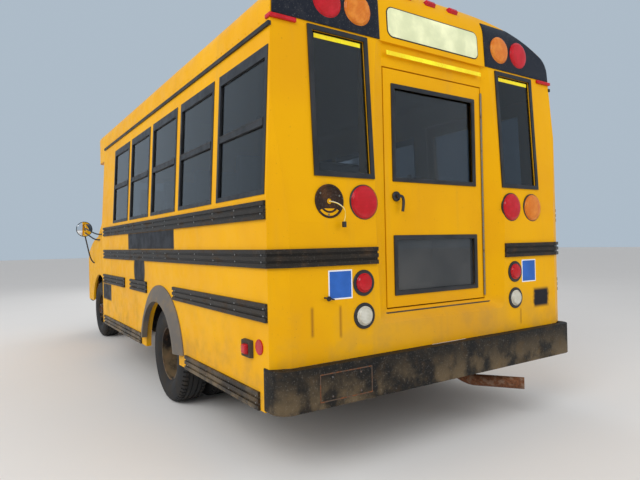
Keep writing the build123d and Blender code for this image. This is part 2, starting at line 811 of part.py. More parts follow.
# Van cab
def cab_section(inset, bottom):
    """Cross-section of the cab: upright doors, leaning glass and a low crown."""
    half = CAB_HALF_WIDTH - inset
    top = CAB_TOP_HALF_WIDTH - inset
    roof_z = CAB_ROOF_Z - inset
    with BuildSketch() as section:
        with BuildLine():
            Polyline((-top, roof_z - CAB_ROOF_CROWN), (-half, CAB_BELT_Z), (-half, bottom))
            Line((-half, bottom), (half, bottom))
            Polyline((half, bottom), (half, CAB_BELT_Z), (top, roof_z - CAB_ROOF_CROWN))
            ThreePointArc((top, roof_z - CAB_ROOF_CROWN), (0, roof_z), (-top, roof_z - CAB_ROOF_CROWN))
        make_face()
    return section.sketch


def cab_solid(inset, bottom, start):
    """Form of the cab and nose, with its outlines moved in by inset."""
    run = COWL_STATION - WINDSCREEN_TOP_STATION
    fall = WINDSCREEN_TOP_Z - COWL_Z
    shift = inset * sqrt(run**2 + fall**2) / fall
    with BuildPart() as made:
        with BuildSketch(Plane.YZ.offset(at(start))):
            add(cab_section(inset, bottom))
        extrude(amount=NOSE_STATION + 40 - start)
        with BuildSketch(Plane.XZ.offset(-2 * HALF_WIDTH)):
            with BuildLine():
                Polyline(
                    (at(start), bottom),
                    (at(start), 2 * CAB_ROOF_Z),
                    (at(WINDSCREEN_TOP_STATION - shift - 300), 2 * CAB_ROOF_Z),
                    (at(WINDSCREEN_TOP_STATION - shift - 300), CAB_ROOF_Z - inset),
                    (at(WINDSCREEN_TOP_STATION - shift), WINDSCREEN_TOP_Z),
                    (at(COWL_STATION - shift), COWL_Z),
                )
                ThreePointArc(
                    (at(COWL_STATION - shift), COWL_Z),
                    (at((COWL_STATION + NOSE_STATION) / 2), (COWL_Z + NOSE_TOP_Z) / 2 + 42 - inset),
                    (at(NOSE_STATION - inset), NOSE_TOP_Z - inset),
                )
                Polyline(
                    (at(NOSE_STATION - inset), NOSE_TOP_Z - inset),
                    (at(NOSE_STATION + 24 - inset), NOSE_TOP_Z - 90),
                    (at(NOSE_STATION + 24 - inset), bottom),
                    (at(start), bottom),
                )
            make_face()
        extrude(amount=4 * HALF_WIDTH, mode=Mode.INTERSECT)
    return made.part


cab_outer = cab_solid(0, CAB_BOTTOM_Z, BODY_LENGTH)
cabin = cab_solid(CAB_WALL, CAB_FLOOR_Z, BODY_LENGTH - 1) & block(
    (at(BODY_LENGTH - 1), at(FIREWALL_STATION)), (-HALF_WIDTH, HALF_WIDTH), (CAB_FLOOR_Z, ROOF_Z)
)
engine_bay = cab_solid(BONNET_SHEET, 0, BODY_LENGTH) & block(
    (at(FIREWALL_STATION + 30), at(NOSE_STATION + 60)), (-HALF_WIDTH, HALF_WIDTH), (0, ROOF_Z)
)
front_arch = arch_cutter(
    FRONT_AXLE_X, FRONT_ARCH_RADIUS, (FRONT_HOUSING_INNER_Y, CAB_HALF_WIDTH + 100), 0
)
below_floor = block(
    (at(BODY_LENGTH - 1), at(FIREWALL_STATION)),
    (-CAB_HALF_WIDTH + CAB_WALL, CAB_HALF_WIDTH - CAB_WALL),
    (0, CAB_FLOOR_Z - FLOOR_THICKNESS),
)
entrance_box = block(
    (at(BODY_LENGTH), at(ENTRANCE_END + 60)),
    (-ENTRANCE_FACE_Y, -CAB_TOP_HALF_WIDTH + CAB_WALL),
    (ENTRANCE_BOTTOM_Z - 40, CAP_LIP_Z - 20),
)
entrance_well = block(
    (at(ENTRANCE_START), at(ENTRANCE_END)),
    (-ENTRANCE_FACE_Y - 10, -CAB_TOP_HALF_WIDTH + CAB_WALL + 200),
    (ENTRANCE_BOTTOM_Z, ENTRANCE_TOP_Z),
)


def door_prism(outline, clearance, taper):
    """Door outline of (station, z) points cut through the left cab wall, smaller inboard."""
    with BuildPart() as made:
        with BuildSketch(Plane.XZ.offset(-CAB_HALF_WIDTH - 12)):
            with BuildLine():
                Polyline(*[(at(s), z) for s, z in outline], close=True)
            make_face()
            if clearance:
                offset(amount=clearance, kind=Kind.INTERSECTION)
        extrude(amount=260, taper=taper)
    return made.part


door_zone = door_prism(DRIVER_DOOR, 0, DRIVER_DOOR_TAPER)
door_cut = door_prism(DRIVER_DOOR, MOVING_GAP, DRIVER_DOOR_TAPER)
pane_cut = door_prism(DRIVER_PANE, 0, 0)
cab_side_shell = cab_outer - cab_solid(CAB_WALL, 0, BODY_LENGTH - 1)

# Bonnet: the middle of the nose's top, hinged at the cowl
BONNET_REAR = COWL_STATION + 70
BONNET_FRONT = NOSE_STATION + 60
BONNET_LIP_Z = NOSE_TOP_Z - 70
bonnet_zone = block(
    (at(BONNET_REAR), at(BONNET_FRONT)), (-BONNET_HALF_WIDTH, BONNET_HALF_WIDTH), (BONNET_LIP_Z, ROOF_Z)
)
bonnet_cut = block(
    (at(BONNET_REAR - MOVING_GAP), at(BONNET_FRONT + MOVING_GAP)),
    (-BONNET_HALF_WIDTH - MOVING_GAP, BONNET_HALF_WIDTH + MOVING_GAP),
    (BONNET_LIP_Z - MOVING_GAP, ROOF_Z),
)
with BuildPart() as bonnet:
    add((cab_outer - engine_bay) & bonnet_zone)
export(bonnet, "bonnet")

# Windscreen: a pane in the sloping front of the cab
screen_band = cab_solid(10, 0, BODY_LENGTH) - cab_solid(10 + GLASS, 0, BODY_LENGTH)
SCREEN_Z = (COWL_Z + 45, WINDSCREEN_TOP_Z - 45)
screen_zone = block(
    (at(WINDSCREEN_TOP_STATION - 60), at(COWL_STATION)), (-CAB_TOP_HALF_WIDTH + 60, CAB_TOP_HALF_WIDTH - 60), SCREEN_Z
)
quarter_pane = ((4950, 1370), (5190, 1370), (4950, 1625))
# Cab shell: sides, pillars, roof, floor, scuttle, wings and inner arches
with BuildPart() as cab_shell:
    add(cab_outer)
    add(entrance_box)
    add(cabin, mode=Mode.SUBTRACT)
    add(engine_bay, mode=Mode.SUBTRACT)
    add(below_floor, mode=Mode.SUBTRACT)
    add(front_arch, mode=Mode.SUBTRACT)
    add(mirrored(front_arch), mode=Mode.SUBTRACT)
    add(entrance_well, mode=Mode.SUBTRACT)
    add(door_cut, mode=Mode.SUBTRACT)
    add(bonnet_cut, mode=Mode.SUBTRACT)
    add(screen_zone, mode=Mode.SUBTRACT)
    add(prism(quarter_pane, (-CAB_HALF_WIDTH - 80, CAB_HALF_WIDTH + 80)), mode=Mode.SUBTRACT)
    add(
        block((at(NOSE_STATION - 40), at(NOSE_STATION + 60)), (-860, 860), (640, 1010)),
        mode=Mode.SUBTRACT,
    )
    add(
        block(
            (at(BODY_LENGTH), at(NOSE_STATION + 60)),
            (-RAIL_Y - CHANNEL_WIDTH / 2, RAIL_Y + CHANNEL_WIDTH / 2),
            (0, frame_top + 10),
        ),
        mode=Mode.SUBTRACT,
    )
export(cab_shell, "cab_shell")

# Front cap of the body: face panel round the cab, and the overhang above it
cap_outer_profile = (
    (BODY_LENGTH, CAP_LIP_Z),
    (BODY_LENGTH + CAP_REACH - 120, CAP_LIP_Z + 15),
    (BODY_LENGTH + CAP_REACH - 10, CAP_LIP_Z + 90),
    (BODY_LENGTH + CAP_REACH - 40, CAP_LIP_Z + 300),
    (BODY_LENGTH + CAP_REACH - 240, ROOF_Z - 70),
    (BODY_LENGTH, ROOF_Z + 10),
)


def cap_form(inset):
    """Overhang of the front cap: side outline, plan taper and body section together."""
    front_half = CAP_FRONT_HALF_WIDTH - inset
    with BuildPart() as made:
        with BuildSketch(Plane.YZ.offset(at(BODY_LENGTH))):
            add(body_section(-inset, SKIRT_Z))
        extrude(amount=CAP_REACH)
        with BuildSketch(Plane.XZ.offset(-2 * HALF_WIDTH)):
            with BuildLine():
                Polyline(*[(at(s), z) for s, z in cap_outer_profile], close=True)
            make_face()
            if inset:
                offset(amount=-inset, kind=Kind.INTERSECTION)
        extrude(amount=4 * HALF_WIDTH, mode=Mode.INTERSECT)
        with BuildSketch(Plane.XY):
            with BuildLine():
                Polyline(
                    (at(BODY_LENGTH), -HALF_WIDTH + inset),
                    (at(BODY_LENGTH), HALF_WIDTH - inset),
                    (at(BODY_LENGTH + CAP_REACH - 200), HALF_WIDTH - inset - 60),
                    (at(BODY_LENGTH + CAP_REACH), front_half),
                    (at(BODY_LENGTH + CAP_REACH), -front_half),
                    (at(BODY_LENGTH + CAP_REACH - 200), -HALF_WIDTH + inset + 60),
                    close=True,
                )
            make_face()
        extrude(amount=2 * ROOF_Z, mode=Mode.INTERSECT)
    return made.part


face_panel = (
    body_solid(0, SKIRT_Z, BODY_LENGTH + CAP_WALL)
    & block(
        (at(BODY_LENGTH), at(BODY_LENGTH + CAP_WALL)),
        (-2 * HALF_WIDTH, 2 * HALF_WIDTH),
        (0, CAP_LIP_Z + 60),
    )
)
with BuildPart() as front_cap:
    add(cap_form(0))
    add(cap_form(CAP_WALL), mode=Mode.SUBTRACT)
    add(
        (
            cap_form(CAP_WALL)
            & block(
                (at(BODY_LENGTH - 1), at(BODY_LENGTH + 2 * CAP_WALL)),
                (-2 * HALF_WIDTH, 2 * HALF_WIDTH),
                (0, 2 * ROOF_Z),
            )
        ),
        mode=Mode.SUBTRACT,
    )
    add(face_panel)
    add(
        block((at(BODY_LENGTH), at(NOSE_STATION)), (-CAB_HALF_WIDTH, CAB_HALF_WIDTH), (0, CAB_BELT_Z)),
        mode=Mode.SUBTRACT,
    )
    add(cab_outer, mode=Mode.SUBTRACT)
    add(cabin, mode=Mode.SUBTRACT)
    add(entrance_box, mode=Mode.SUBTRACT)
export(front_cap, "front_cap")

# Body glass: all fixed panes of the bus body and the cab's quarter panes
with BuildPart() as body_glass:
    add(screen_band & screen_zone)
    add(window_panes_for(window_stations))
    add(mirrored(window_panes_for(right_stations)))
    add(rear_pane)
    add(mirrored(rear_pane))
    add(
        (cab_solid(10, 0, BODY_LENGTH) - cab_solid(10 + GLASS, 0, BODY_LENGTH))
        & prism(quarter_pane, (CAB_HALF_WIDTH - 200, CAB_HALF_WIDTH))
    )
    add(
        (cab_solid(10, 0, BODY_LENGTH) - cab_solid(10 + GLASS, 0, BODY_LENGTH))
        & prism(quarter_pane, (-CAB_HALF_WIDTH, -CAB_HALF_WIDTH + 200))
    )
export(body_glass, "body_glass")

# Driver's door and its pane
with BuildPart() as driver_door:
    add(cab_side_shell & door_zone)
    add(pane_cut, mode=Mode.SUBTRACT)
export(driver_door, "driver_door")
with BuildPart() as driver_door_glass:
    add((cab_solid(18, 0, BODY_LENGTH) - cab_solid(18 + GLASS, 0, BODY_LENGTH)) & pane_cut)
export(driver_door_glass, "driver_door_glass")

# Entrance door leaves, each a frame round one long pane
leaf_width = (ENTRANCE_END - ENTRANCE_START - 2 * MOVING_GAP - LEAF_GAP) / 2
leaf_z = (ENTRANCE_BOTTOM_Z + MOVING_GAP, ENTRANCE_TOP_Z - MOVING_GAP)
LEAF_BAR = 52
leaf_starts = {
    "entrance_leaf_rear": ENTRANCE_START + MOVING_GAP,
    "entrance_leaf_front": ENTRANCE_END - MOVING_GAP - leaf_width,
}
for leaf_name, start in leaf_starts.items():
    pane = block(
        (at(start + LEAF_BAR), at(start + leaf_width - LEAF_BAR)),
        (-ENTRANCE_FACE_Y - 20, -ENTRANCE_FACE_Y + 60),
        (leaf_z[0] + 2 * LEAF_BAR, leaf_z[1] - LEAF_BAR),
    )
    whole = block(
        (at(start), at(start + leaf_width)),
        (-ENTRANCE_FACE_Y, -ENTRANCE_FACE_Y + ENTRANCE_THICKNESS),
        leaf_z,
    )
    with BuildPart() as leaf:
        add(whole - pane)
    export(leaf, leaf_name)
    with BuildPart() as leaf_glass:
        add(
            pane
            & block(
                (at(start), at(start + leaf_width)),
                (-ENTRANCE_FACE_Y + 14, -ENTRANCE_FACE_Y + 14 + GLASS),
                leaf_z,
            )
        )
    export(leaf_glass, leaf_name + "_glass")

# Rear emergency door: flat leaf, two pane openings, lever handle and hinge barrel
with BuildPart() as rear_door:
    with BuildSketch(Plane(origin=(at(DOOR_PLANE), 0, 0), x_dir=(0, 1, 0), z_dir=(1, 0, 0))):
        with Locations((0, (DOOR_BOTTOM_Z + DOOR_TOP_Z) / 2)):
            Rectangle(2 * DOOR_HALF_WIDTH, DOOR_TOP_Z - DOOR_BOTTOM_Z)
        for pane_z in (UPPER_PANE_Z, LOWER_PANE_Z):
            with Locations((0, (pane_z[0] + pane_z[1]) / 2)):
                RectangleRounded(
                    2 * DOOR_PANE_HALF_WIDTH, pane_z[1] - pane_z[0], 22, mode=Mode.SUBTRACT
                )
    extrude(amount=DOOR_THICKNESS)
export(rear_door, "rear_door")
with BuildPart() as rear_door_glass:
    with BuildSketch(
        Plane(origin=(at(DOOR_PLANE + GLASS_SET_BACK), 0, 0), x_dir=(0, 1, 0), z_dir=(1, 0, 0))
    ):
        for pane_z in (UPPER_PANE_Z, LOWER_PANE_Z):
            with Locations((0, (pane_z[0] + pane_z[1]) / 2)):
                RectangleRounded(2 * DOOR_PANE_HALF_WIDTH, pane_z[1] - pane_z[0], 22)
    extrude(amount=GLASS)
export(rear_door_glass, "rear_door_glass")

HANDLE_Y = 335
HANDLE_Z = (1360, 1475)
with BuildPart() as rear_door_handle:
    with BuildSketch(Plane(origin=(at(DOOR_PLANE), HANDLE_Y, HANDLE_Z[0] + 30), x_dir=(0, 1, 0), z_dir=(-1, 0, 0))):
        Circle(27)
    extrude(amount=34)
    with BuildSketch(
        Plane(origin=(at(DOOR_PLANE - 22), HANDLE_Y, HANDLE_Z[0] + 30), x_dir=(0, 1, 0), z_dir=(-1, 0, 0))
    ):
        SlotCenterPoint((0, 0), (-14, 45), 24)
    extrude(amount=14)
export(rear_door_handle, "rear_door_handle")

# Lift door in the right side, with one fixed pane
lift_zone = block(
    (at(LIFT_START + MOVING_GAP), at(LIFT_START + LIFT_WIDTH - LIFT_GAP)),
    (-HALF_WIDTH - WALL, -HALF_WIDTH / 2),
    (LIFT_BOTTOM_Z + MOVING_GAP, LIFT_TOP_Z - MOVING_GAP),
)
lift_pane_zone = block(
    (at(LIFT_START + LIFT_PANE_MARGIN), at(LIFT_START + LIFT_WIDTH - LIFT_PANE_MARGIN)),
    (-HALF_WIDTH - WALL, -HALF_WIDTH / 2),
    (WINDOW_BOTTOM_Z + 20, WINDOW_TOP_Z - 40),
)
with BuildPart() as lift_door:
    add(((outer - inner) & lift_zone) - lift_pane_zone)
export(lift_door, "lift_door")
with BuildPart() as lift_door_glass:
    add(
        (
            body_solid(-GLASS_SET_BACK, SKIRT_Z, BODY_LENGTH)
            - body_solid(-GLASS_SET_BACK - GLASS, 0, BODY_LENGTH)
        )
        & lift_pane_zone
    )
export(lift_door_glass, "lift_door_glass")


# Tyres and rims
def tyre(middle_y):
    """One tyre about the axle line through the origin: bead tapers, flat walls, shoulders, tread."""
    half = TYRE_WIDTH / 2
    with BuildPart() as made:
        with BuildSketch(Plane.YZ):
            with BuildLine():
                Polyline(
                    (middle_y - half + BEAD_TAPER, RIM_RADIUS),
                    (middle_y - half, RIM_RADIUS + BEAD_HEIGHT),
                    (middle_y - half, TYRE_RADIUS - SHOULDER_HEIGHT),
                    (middle_y - half + SHOULDER_WIDTH, TYRE_RADIUS),
                    (middle_y + half - SHOULDER_WIDTH, TYRE_RADIUS),
                    (middle_y + half, TYRE_RADIUS - SHOULDER_HEIGHT),
                    (middle_y + half, RIM_RADIUS + BEAD_HEIGHT),
                    (middle_y + half - BEAD_TAPER, RIM_RADIUS),
                    close=True,
                )
            make_face()
        revolve(axis=Axis.Y)
    return made.part


def rim(middle_y, dish_y, hub_reach, drum_radius, drum_end, bore_radius):
    """Disc wheel about the axle line: barrel, dished disc, hub, and a bored drum behind it."""
    half = TYRE_WIDTH / 2 - BEAD_SET_IN
    inside = RIM_RADIUS - RIM_SHEET
    root_y = max(dish_y, middle_y - half + 4)
    with BuildPart() as made:
        with BuildSketch(Plane.YZ):
            with BuildLine():
                Polyline(
                    (middle_y - half, RIM_RADIUS),
                    (middle_y + half, RIM_RADIUS),
                    (middle_y + half, inside),
                    (root_y + RIM_SHEET, inside),
                    (dish_y + RIM_SHEET, DISC_FLAT_RADIUS),
                    (dish_y + RIM_SHEET, 86),
                    (dish_y + hub_reach, 66),
                    (dish_y + hub_reach, 0),
                    (dish_y + RIM_SHEET, 0),
                    (dish_y + RIM_SHEET, bore_radius),
                    (drum_end, bore_radius),
                    (drum_end, drum_radius),
                    (dish_y, drum_radius),
                    (dish_y, DISC_FLAT_RADIUS),
                    (root_y, inside),
                    (middle_y - half, inside),
                    close=True,
                )
            make_face()
        revolve(axis=Axis.Y)
        with BuildSketch(Plane.XZ.offset(-(dish_y + 75))):
            with PolarLocations(HUB_HOLE_RING, HUB_HOLE_COUNT):
                Circle(HUB_HOLE_RADIUS)
        extrude(amount=120, mode=Mode.SUBTRACT)
    return made.part


def inner_twin_rim():
    """Inner wheel of the pair: the same disc turned round, open at its middle for the hub."""
    half = TYRE_WIDTH / 2 - BEAD_SET_IN
    inside = RIM_RADIUS - RIM_SHEET
    root_y = rear_inner_y + half - 4
    with BuildPart() as made:
        with BuildSketch(Plane.YZ):
            with BuildLine():
                Polyline(
                    (rear_inner_y - half, RIM_RADIUS),
                    (rear_inner_y + half, RIM_RADIUS),
                    (rear_inner_y + half, inside),
                    (root_y, inside),
                    (twin_face_y, DISC_FLAT_RADIUS),
                    (twin_face_y, DRUM_RADIUS - 6),
                    (twin_face_y - RIM_SHEET, DRUM_RADIUS - 6),
                    (twin_face_y - RIM_SHEET, DISC_FLAT_RADIUS),
                    (root_y - RIM_SHEET, inside),
                    (rear_inner_y - half, inside),
                    close=True,
                )
            make_face()
        revolve(axis=Axis.Y)
    return made.part


def placed(solid, x, side):
    """Move a wheel piece to its axle, mirrored for the right side."""
    moved = Pos(x, 0, HUB_Z) * solid
    return moved if side > 0 else mirrored(moved)


rear_outer_y = REAR_OUTER_FACE_Y - TYRE_WIDTH / 2
rear_inner_y = rear_outer_y - TWIN_SPACING
front_y = FRONT_OUTER_FACE_Y - TYRE_WIDTH / 2
twin_face_y = (rear_outer_y + rear_inner_y) / 2
rear_drum_end = rear_inner_y - TYRE_WIDTH / 2 + 60
rear_bore = REAR_SPINDLE_RADIUS + RUNNING_GAP
front_drum_end = front_y - 70
SIDES = {"left": 1, "right": -1}
for side_name, side in SIDES.items():
    with BuildPart() as tyres_rear:
        add(placed(tyre(rear_outer_y), REAR_AXLE_X, side))
        add(placed(tyre(rear_inner_y), REAR_AXLE_X, side))
    export(tyres_rear, "tyres_rear_" + side_name)
    with BuildPart() as rims_rear:
        outer_rim = rim(rear_outer_y, twin_face_y, 95, DRUM_RADIUS, rear_drum_end, rear_bore)
        inner_rim = inner_twin_rim()
        add(placed(outer_rim + inner_rim, REAR_AXLE_X, side))
    export(rims_rear, "rims_rear_" + side_name)
    with BuildPart() as tyre_front:
        add(placed(tyre(front_y), FRONT_AXLE_X, side))
    export(tyre_front, "tyre_front_" + side_name)
    with BuildPart() as rim_front:
        front_rim = rim(front_y, front_y + 30, 60, 70, front_drum_end, SPINDLE_RADIUS + RUNNING_GAP)
        add(placed(front_rim, FRONT_AXLE_X, side))
    export(rim_front, "rim_front_" + side_name)

# Steering knuckles: kingpin barrel, spindle and steering arm
KNUCKLE_RADIUS = 30
spindle_reach = front_y + 12 - KINGPIN_Y
for side_name, side in SIDES.items():
    with BuildPart() as knuckle:
        with BuildSketch(Plane.XY.offset(HUB_Z - 80)):
            with Locations((FRONT_AXLE_X, KINGPIN_Y)):
                Circle(KNUCKLE_RADIUS)
        extrude(amount=160)
        with BuildSketch(Plane.XZ.offset(-KINGPIN_Y)):
            with Locations((FRONT_AXLE_X, HUB_Z)):
                Circle(SPINDLE_RADIUS)
        extrude(amount=-spindle_reach)
        add(
            block(
                (FRONT_AXLE_X - 150, FRONT_AXLE_X),
                (KINGPIN_Y - 20, KINGPIN_Y + 12),
                (HUB_Z - 75, HUB_Z - 50),
            )
        )
        if side < 0:
            mirror(about=Plane.XZ, mode=Mode.REPLACE)
    export(knuckle, "knuckle_" + side_name)

# Front axle: I-beam between forked ends, with leaf springs up to the frame
SPRING_WIDTH = 64
SPRING_Y = RAIL_Y
beam_end = KINGPIN_Y - KNUCKLE_RADIUS - 16
FORK_HALF = 22
with BuildPart() as front_axle:
    add(
        block(
            (FRONT_AXLE_X - 40, FRONT_AXLE_X + 40), (-beam_end, beam_end), (HUB_Z - 45, HUB_Z + 30)
        )
    )
    for low, high in ((HUB_Z + 86, HUB_Z + 110), (HUB_Z - 110, HUB_Z - 86)):
        for s in SIDES.values():
            add(
                block(
                    (FRONT_AXLE_X - 34, FRONT_AXLE_X + 34),
                    tuple(sorted((s * (beam_end - 30), s * (KINGPIN_Y + 24)))),
                    (low, high),
                )
            )
    for s in SIDES.values():
        add(
            block(
                (FRONT_AXLE_X - FORK_HALF, FRONT_AXLE_X + FORK_HALF),
                tuple(sorted((s * (beam_end - 30), s * beam_end))),
                (HUB_Z - 110, HUB_Z + 110),
            )
        )
        add(
            block(
                (FRONT_AXLE_X - 560, FRONT_AXLE_X + 560),
                (s * SPRING_Y - SPRING_WIDTH / 2, s * SPRING_Y + SPRING_WIDTH / 2),
                (HUB_Z + 30, HUB_Z + 62),
            )
        )
        for reach in (-545, 545):
            add(
                block(
                    (FRONT_AXLE_X + reach - 24, FRONT_AXLE_X + reach + 24),
                    (s * SPRING_Y - SPRING_WIDTH / 2, s * SPRING_Y + SPRING_WIDTH / 2),
                    (HUB_Z + 40, FRAME_Z),
                )
            )
export(front_axle, "front_axle")

# Rear axle: banjo tube, leaf springs outboard of the frame, and the propeller shaft
AXLE_TUBE_RADIUS = 52
BANJO_RADIUS = 168
axle_end = rear_drum_end - MOVING_GAP
spindle_end = twin_face_y + RIM_SHEET - 3
shaft_end_station = 4300
with BuildPart() as rear_axle:
    with BuildSketch(Plane.XZ.offset(-axle_end)):
        with Locations((REAR_AXLE_X, HUB_Z)):
            Circle(AXLE_TUBE_RADIUS)
    extrude(amount=2 * axle_end)
    with BuildSketch(Plane.XZ.offset(-spindle_end)):
        with Locations((REAR_AXLE_X, HUB_Z)):
            Circle(REAR_SPINDLE_RADIUS)
    extrude(amount=2 * spindle_end)
    with BuildSketch(Plane.XZ.offset(-95)):
        with Locations((REAR_AXLE_X, HUB_Z)):
            Circle(BANJO_RADIUS)
    extrude(amount=190)
    with BuildSketch(Plane.YZ.offset(REAR_AXLE_X + 100)):
        with Locations((0, HUB_Z)):
            Circle(44)
    extrude(amount=at(shaft_end_station) - REAR_AXLE_X - 100)
    for s in SIDES.values():
        add(
            block(
                (REAR_AXLE_X - 640, REAR_AXLE_X + 640),
                (s * RAIL_Y - SPRING_WIDTH / 2, s * RAIL_Y + SPRING_WIDTH / 2),
                (HUB_Z + AXLE_TUBE_RADIUS - 12, HUB_Z + AXLE_TUBE_RADIUS + 44),
            )
        )
        for reach in (-620, 620):
            add(
                block(
                    (REAR_AXLE_X + reach - 28, REAR_AXLE_X + reach + 28),
                    (s * RAIL_Y - SPRING_WIDTH / 2, s * RAIL_Y + SPRING_WIDTH / 2),
                    (HUB_Z + AXLE_TUBE_RADIUS, FRAME_Z),
                )
            )
export(rear_axle, "rear_axle")

# Engine and gearbox as one plain block on the frame
with BuildPart() as engine_block:
    add(block((at(4560), at(5230)), (-190, 190), (FRAME_Z - 60, CAB_FLOOR_Z - FLOOR_THICKNESS)))
    add(block((at(5290), at(5850)), (-300, 300), (FRAME_Z - 60, 1080)))
    add(block((at(5200), at(5330)), (-190, 190), (FRAME_Z - 60, CAB_FLOOR_Z - FLOOR_THICKNESS)))
    add(
        block((at(5400), at(5500)), (-RAIL_Y + CHANNEL_WIDTH / 2, RAIL_Y - CHANNEL_WIDTH / 2), (580, 640))
    )
    add(chassis_frame.part, mode=Mode.SUBTRACT)
    add(cab_shell.part, mode=Mode.SUBTRACT)
    add(front_axle.part, mode=Mode.SUBTRACT)
export(engine_block, "engine_block")

# Fuel tank outside the left frame rail, hung from the floor outriggers
TANK_STATIONS = (2460, 3300)
with BuildPart() as fuel_tank:
    add(
        block(
            (at(TANK_STATIONS[0]), at(TANK_STATIONS[1])),
            (RAIL_Y + 60, HALF_WIDTH - WALL - 60),
            (430, frame_top),
        )
    )
    fillet(fuel_tank.edges().filter_by(Axis.X), 60)
    add(chassis_frame.part, mode=Mode.SUBTRACT)
export(fuel_tank, "fuel_tank")

# Exhaust: a pipe along the right with a silencer, turned out under the rear corner
PIPE_RADIUS = 34
EXHAUST_Y = -560
EXHAUST_Z = 470
with BuildPart() as exhaust:
    with BuildSketch(Plane.YZ.offset(at(2300))):
        with Locations((EXHAUST_Y, EXHAUST_Z)):
            Circle(PIPE_RADIUS)
    extrude(amount=2300)
    with BuildSketch(Plane.YZ.offset(at(2600))):
        with Locations((EXHAUST_Y, EXHAUST_Z)):
            Ellipse(120, 82)
    extrude(amount=720)
export(exhaust, "exhaust")

# Bench seats: padded cushions and backs, on leg frames
seat_z = FLOOR_Z + BENCH_HEIGHT
bench_outer_y = HALF_WIDTH - TUMBLEHOME - WALL - SEAT_WALL_GAP
# columns: side, station of the cushion's front edge, inner y
BENCHES = [
    ("left", 1120, AISLE_HALF_WIDTH),
    ("left", 1120 + BENCH_PITCH, AISLE_HALF_WIDTH),
    ("left", 1120 + 2 * BENCH_PITCH, AISLE_HALF_WIDTH),
    ("left", 1120 + 3 * BENCH_PITCH, AISLE_HALF_WIDTH),
    ("right", 1120 + 2 * BENCH_PITCH, AISLE_HALF_WIDTH),
    ("right", 1120 + 3 * BENCH_PITCH, AISLE_HALF_WIDTH),
]


def bench_pad(front, side, inner_y):
    """Cushion and raked back of one bench as one closed solid."""
    rear = front - BENCH_DEPTH
    outline = (
        (front, seat_z - BENCH_PAD),
        (front, seat_z - 12),
        (front - 24, seat_z),
        (rear, seat_z - 10),
        (rear - 60, seat_z + BENCH_BACK_HEIGHT),
        (rear - 60 - BENCH_BACK_THICKNESS, seat_z + BENCH_BACK_HEIGHT),
        (rear - BENCH_BACK_THICKNESS, seat_z - BENCH_PAD),
    )
    solid = prism(outline, (inner_y, bench_outer_y))
    return solid if side == "left" else mirrored(solid)


def bench_legs(front, side, inner_y):
    """Seat base rail and two leg plates."""
    rear = front - BENCH_DEPTH
    leg_y = inner_y + 140
    under = seat_z - BENCH_PAD
    solid = block((at(rear - 40), at(front - 40)), (inner_y + 30, bench_outer_y), (under - 30, under))
    for s in (rear - 20, front - 110):
        solid += block((at(s), at(s + 32)), (leg_y, leg_y + 32), (FLOOR_Z, under - 30))
    return solid if side == "left" else mirrored(solid)


with BuildPart() as bench_pads:
    for side_name, front, inner_y in BENCHES:
        add(bench_pad(front, side_name, inner_y))
export(bench_pads, "bench_pads")
# Driver's seat, soft, and its pedestal
DRIVER_Y = (230, 760)
DRIVER_FRONT = 4720
DRIVER_CUSHION_Z = 1080
driver_outline = (
    (DRIVER_FRONT, DRIVER_CUSHION_Z),
    (DRIVER_FRONT, DRIVER_CUSHION_Z + 110),
    (DRIVER_FRONT - 440, DRIVER_CUSHION_Z + 100),
    (DRIVER_FRONT - 560, DRIVER_CUSHION_Z + 680),
    (DRIVER_FRONT - 660, DRIVER_CUSHION_Z + 670),
    (DRIVER_FRONT - 560, DRIVER_CUSHION_Z),
)
with BuildPart() as driver_seat:
    add(prism(driver_outline, DRIVER_Y))
export(driver_seat, "driver_seat")
# Seat frames: bench legs and the driver's pedestal
with BuildPart() as seat_frames:
    for side_name, front, inner_y in BENCHES:
        add(bench_legs(front, side_name, inner_y))
    add(
        block(
            (at(DRIVER_FRONT - 480), at(DRIVER_FRONT - 100)),
            (DRIVER_Y[0] + 90, DRIVER_Y[1] - 90),
            (CAB_FLOOR_Z, DRIVER_CUSHION_Z),
        )
    )
    add(wheel_housings.part, mode=Mode.SUBTRACT)
export(seat_frames, "seat_frames")

# Dashboard with the steering column and wheel
WHEEL_CENTRE = (4830, 495, 1330)
dash_outline = ((5210, 980), (5210, 1290), (5080, 1330), (4990, 1270), (5010, 1010))
column = Plane(
    origin=(at(WHEEL_CENTRE[0]), WHEEL_CENTRE[1], WHEEL_CENTRE[2]),
    x_dir=(0, 1, 0),
    z_dir=(1, 0, -0.62),
)
with BuildPart() as dashboard:
    add(prism(dash_outline, (-CAB_HALF_WIDTH + CAB_WALL + 70, CAB_HALF_WIDTH - CAB_WALL - 70)))
    add(
        block(
            (at(5210), at(FIREWALL_STATION)),
            (-CAB_HALF_WIDTH + CAB_WALL + 70, CAB_HALF_WIDTH - CAB_WALL - 70),
            (1050, 1250),
        )
    )
    with BuildSketch(column):
        Circle(26)
    extrude(amount=230)
    with BuildSketch(column):
        Circle(198)
        Circle(176, mode=Mode.SUBTRACT)
        Rectangle(360, 30)
        Circle(60)
    extrude(amount=20)
    add(cab_shell.part, mode=Mode.SUBTRACT)
    add(driver_door.part, mode=Mode.SUBTRACT)
export(dashboard, "dashboard")

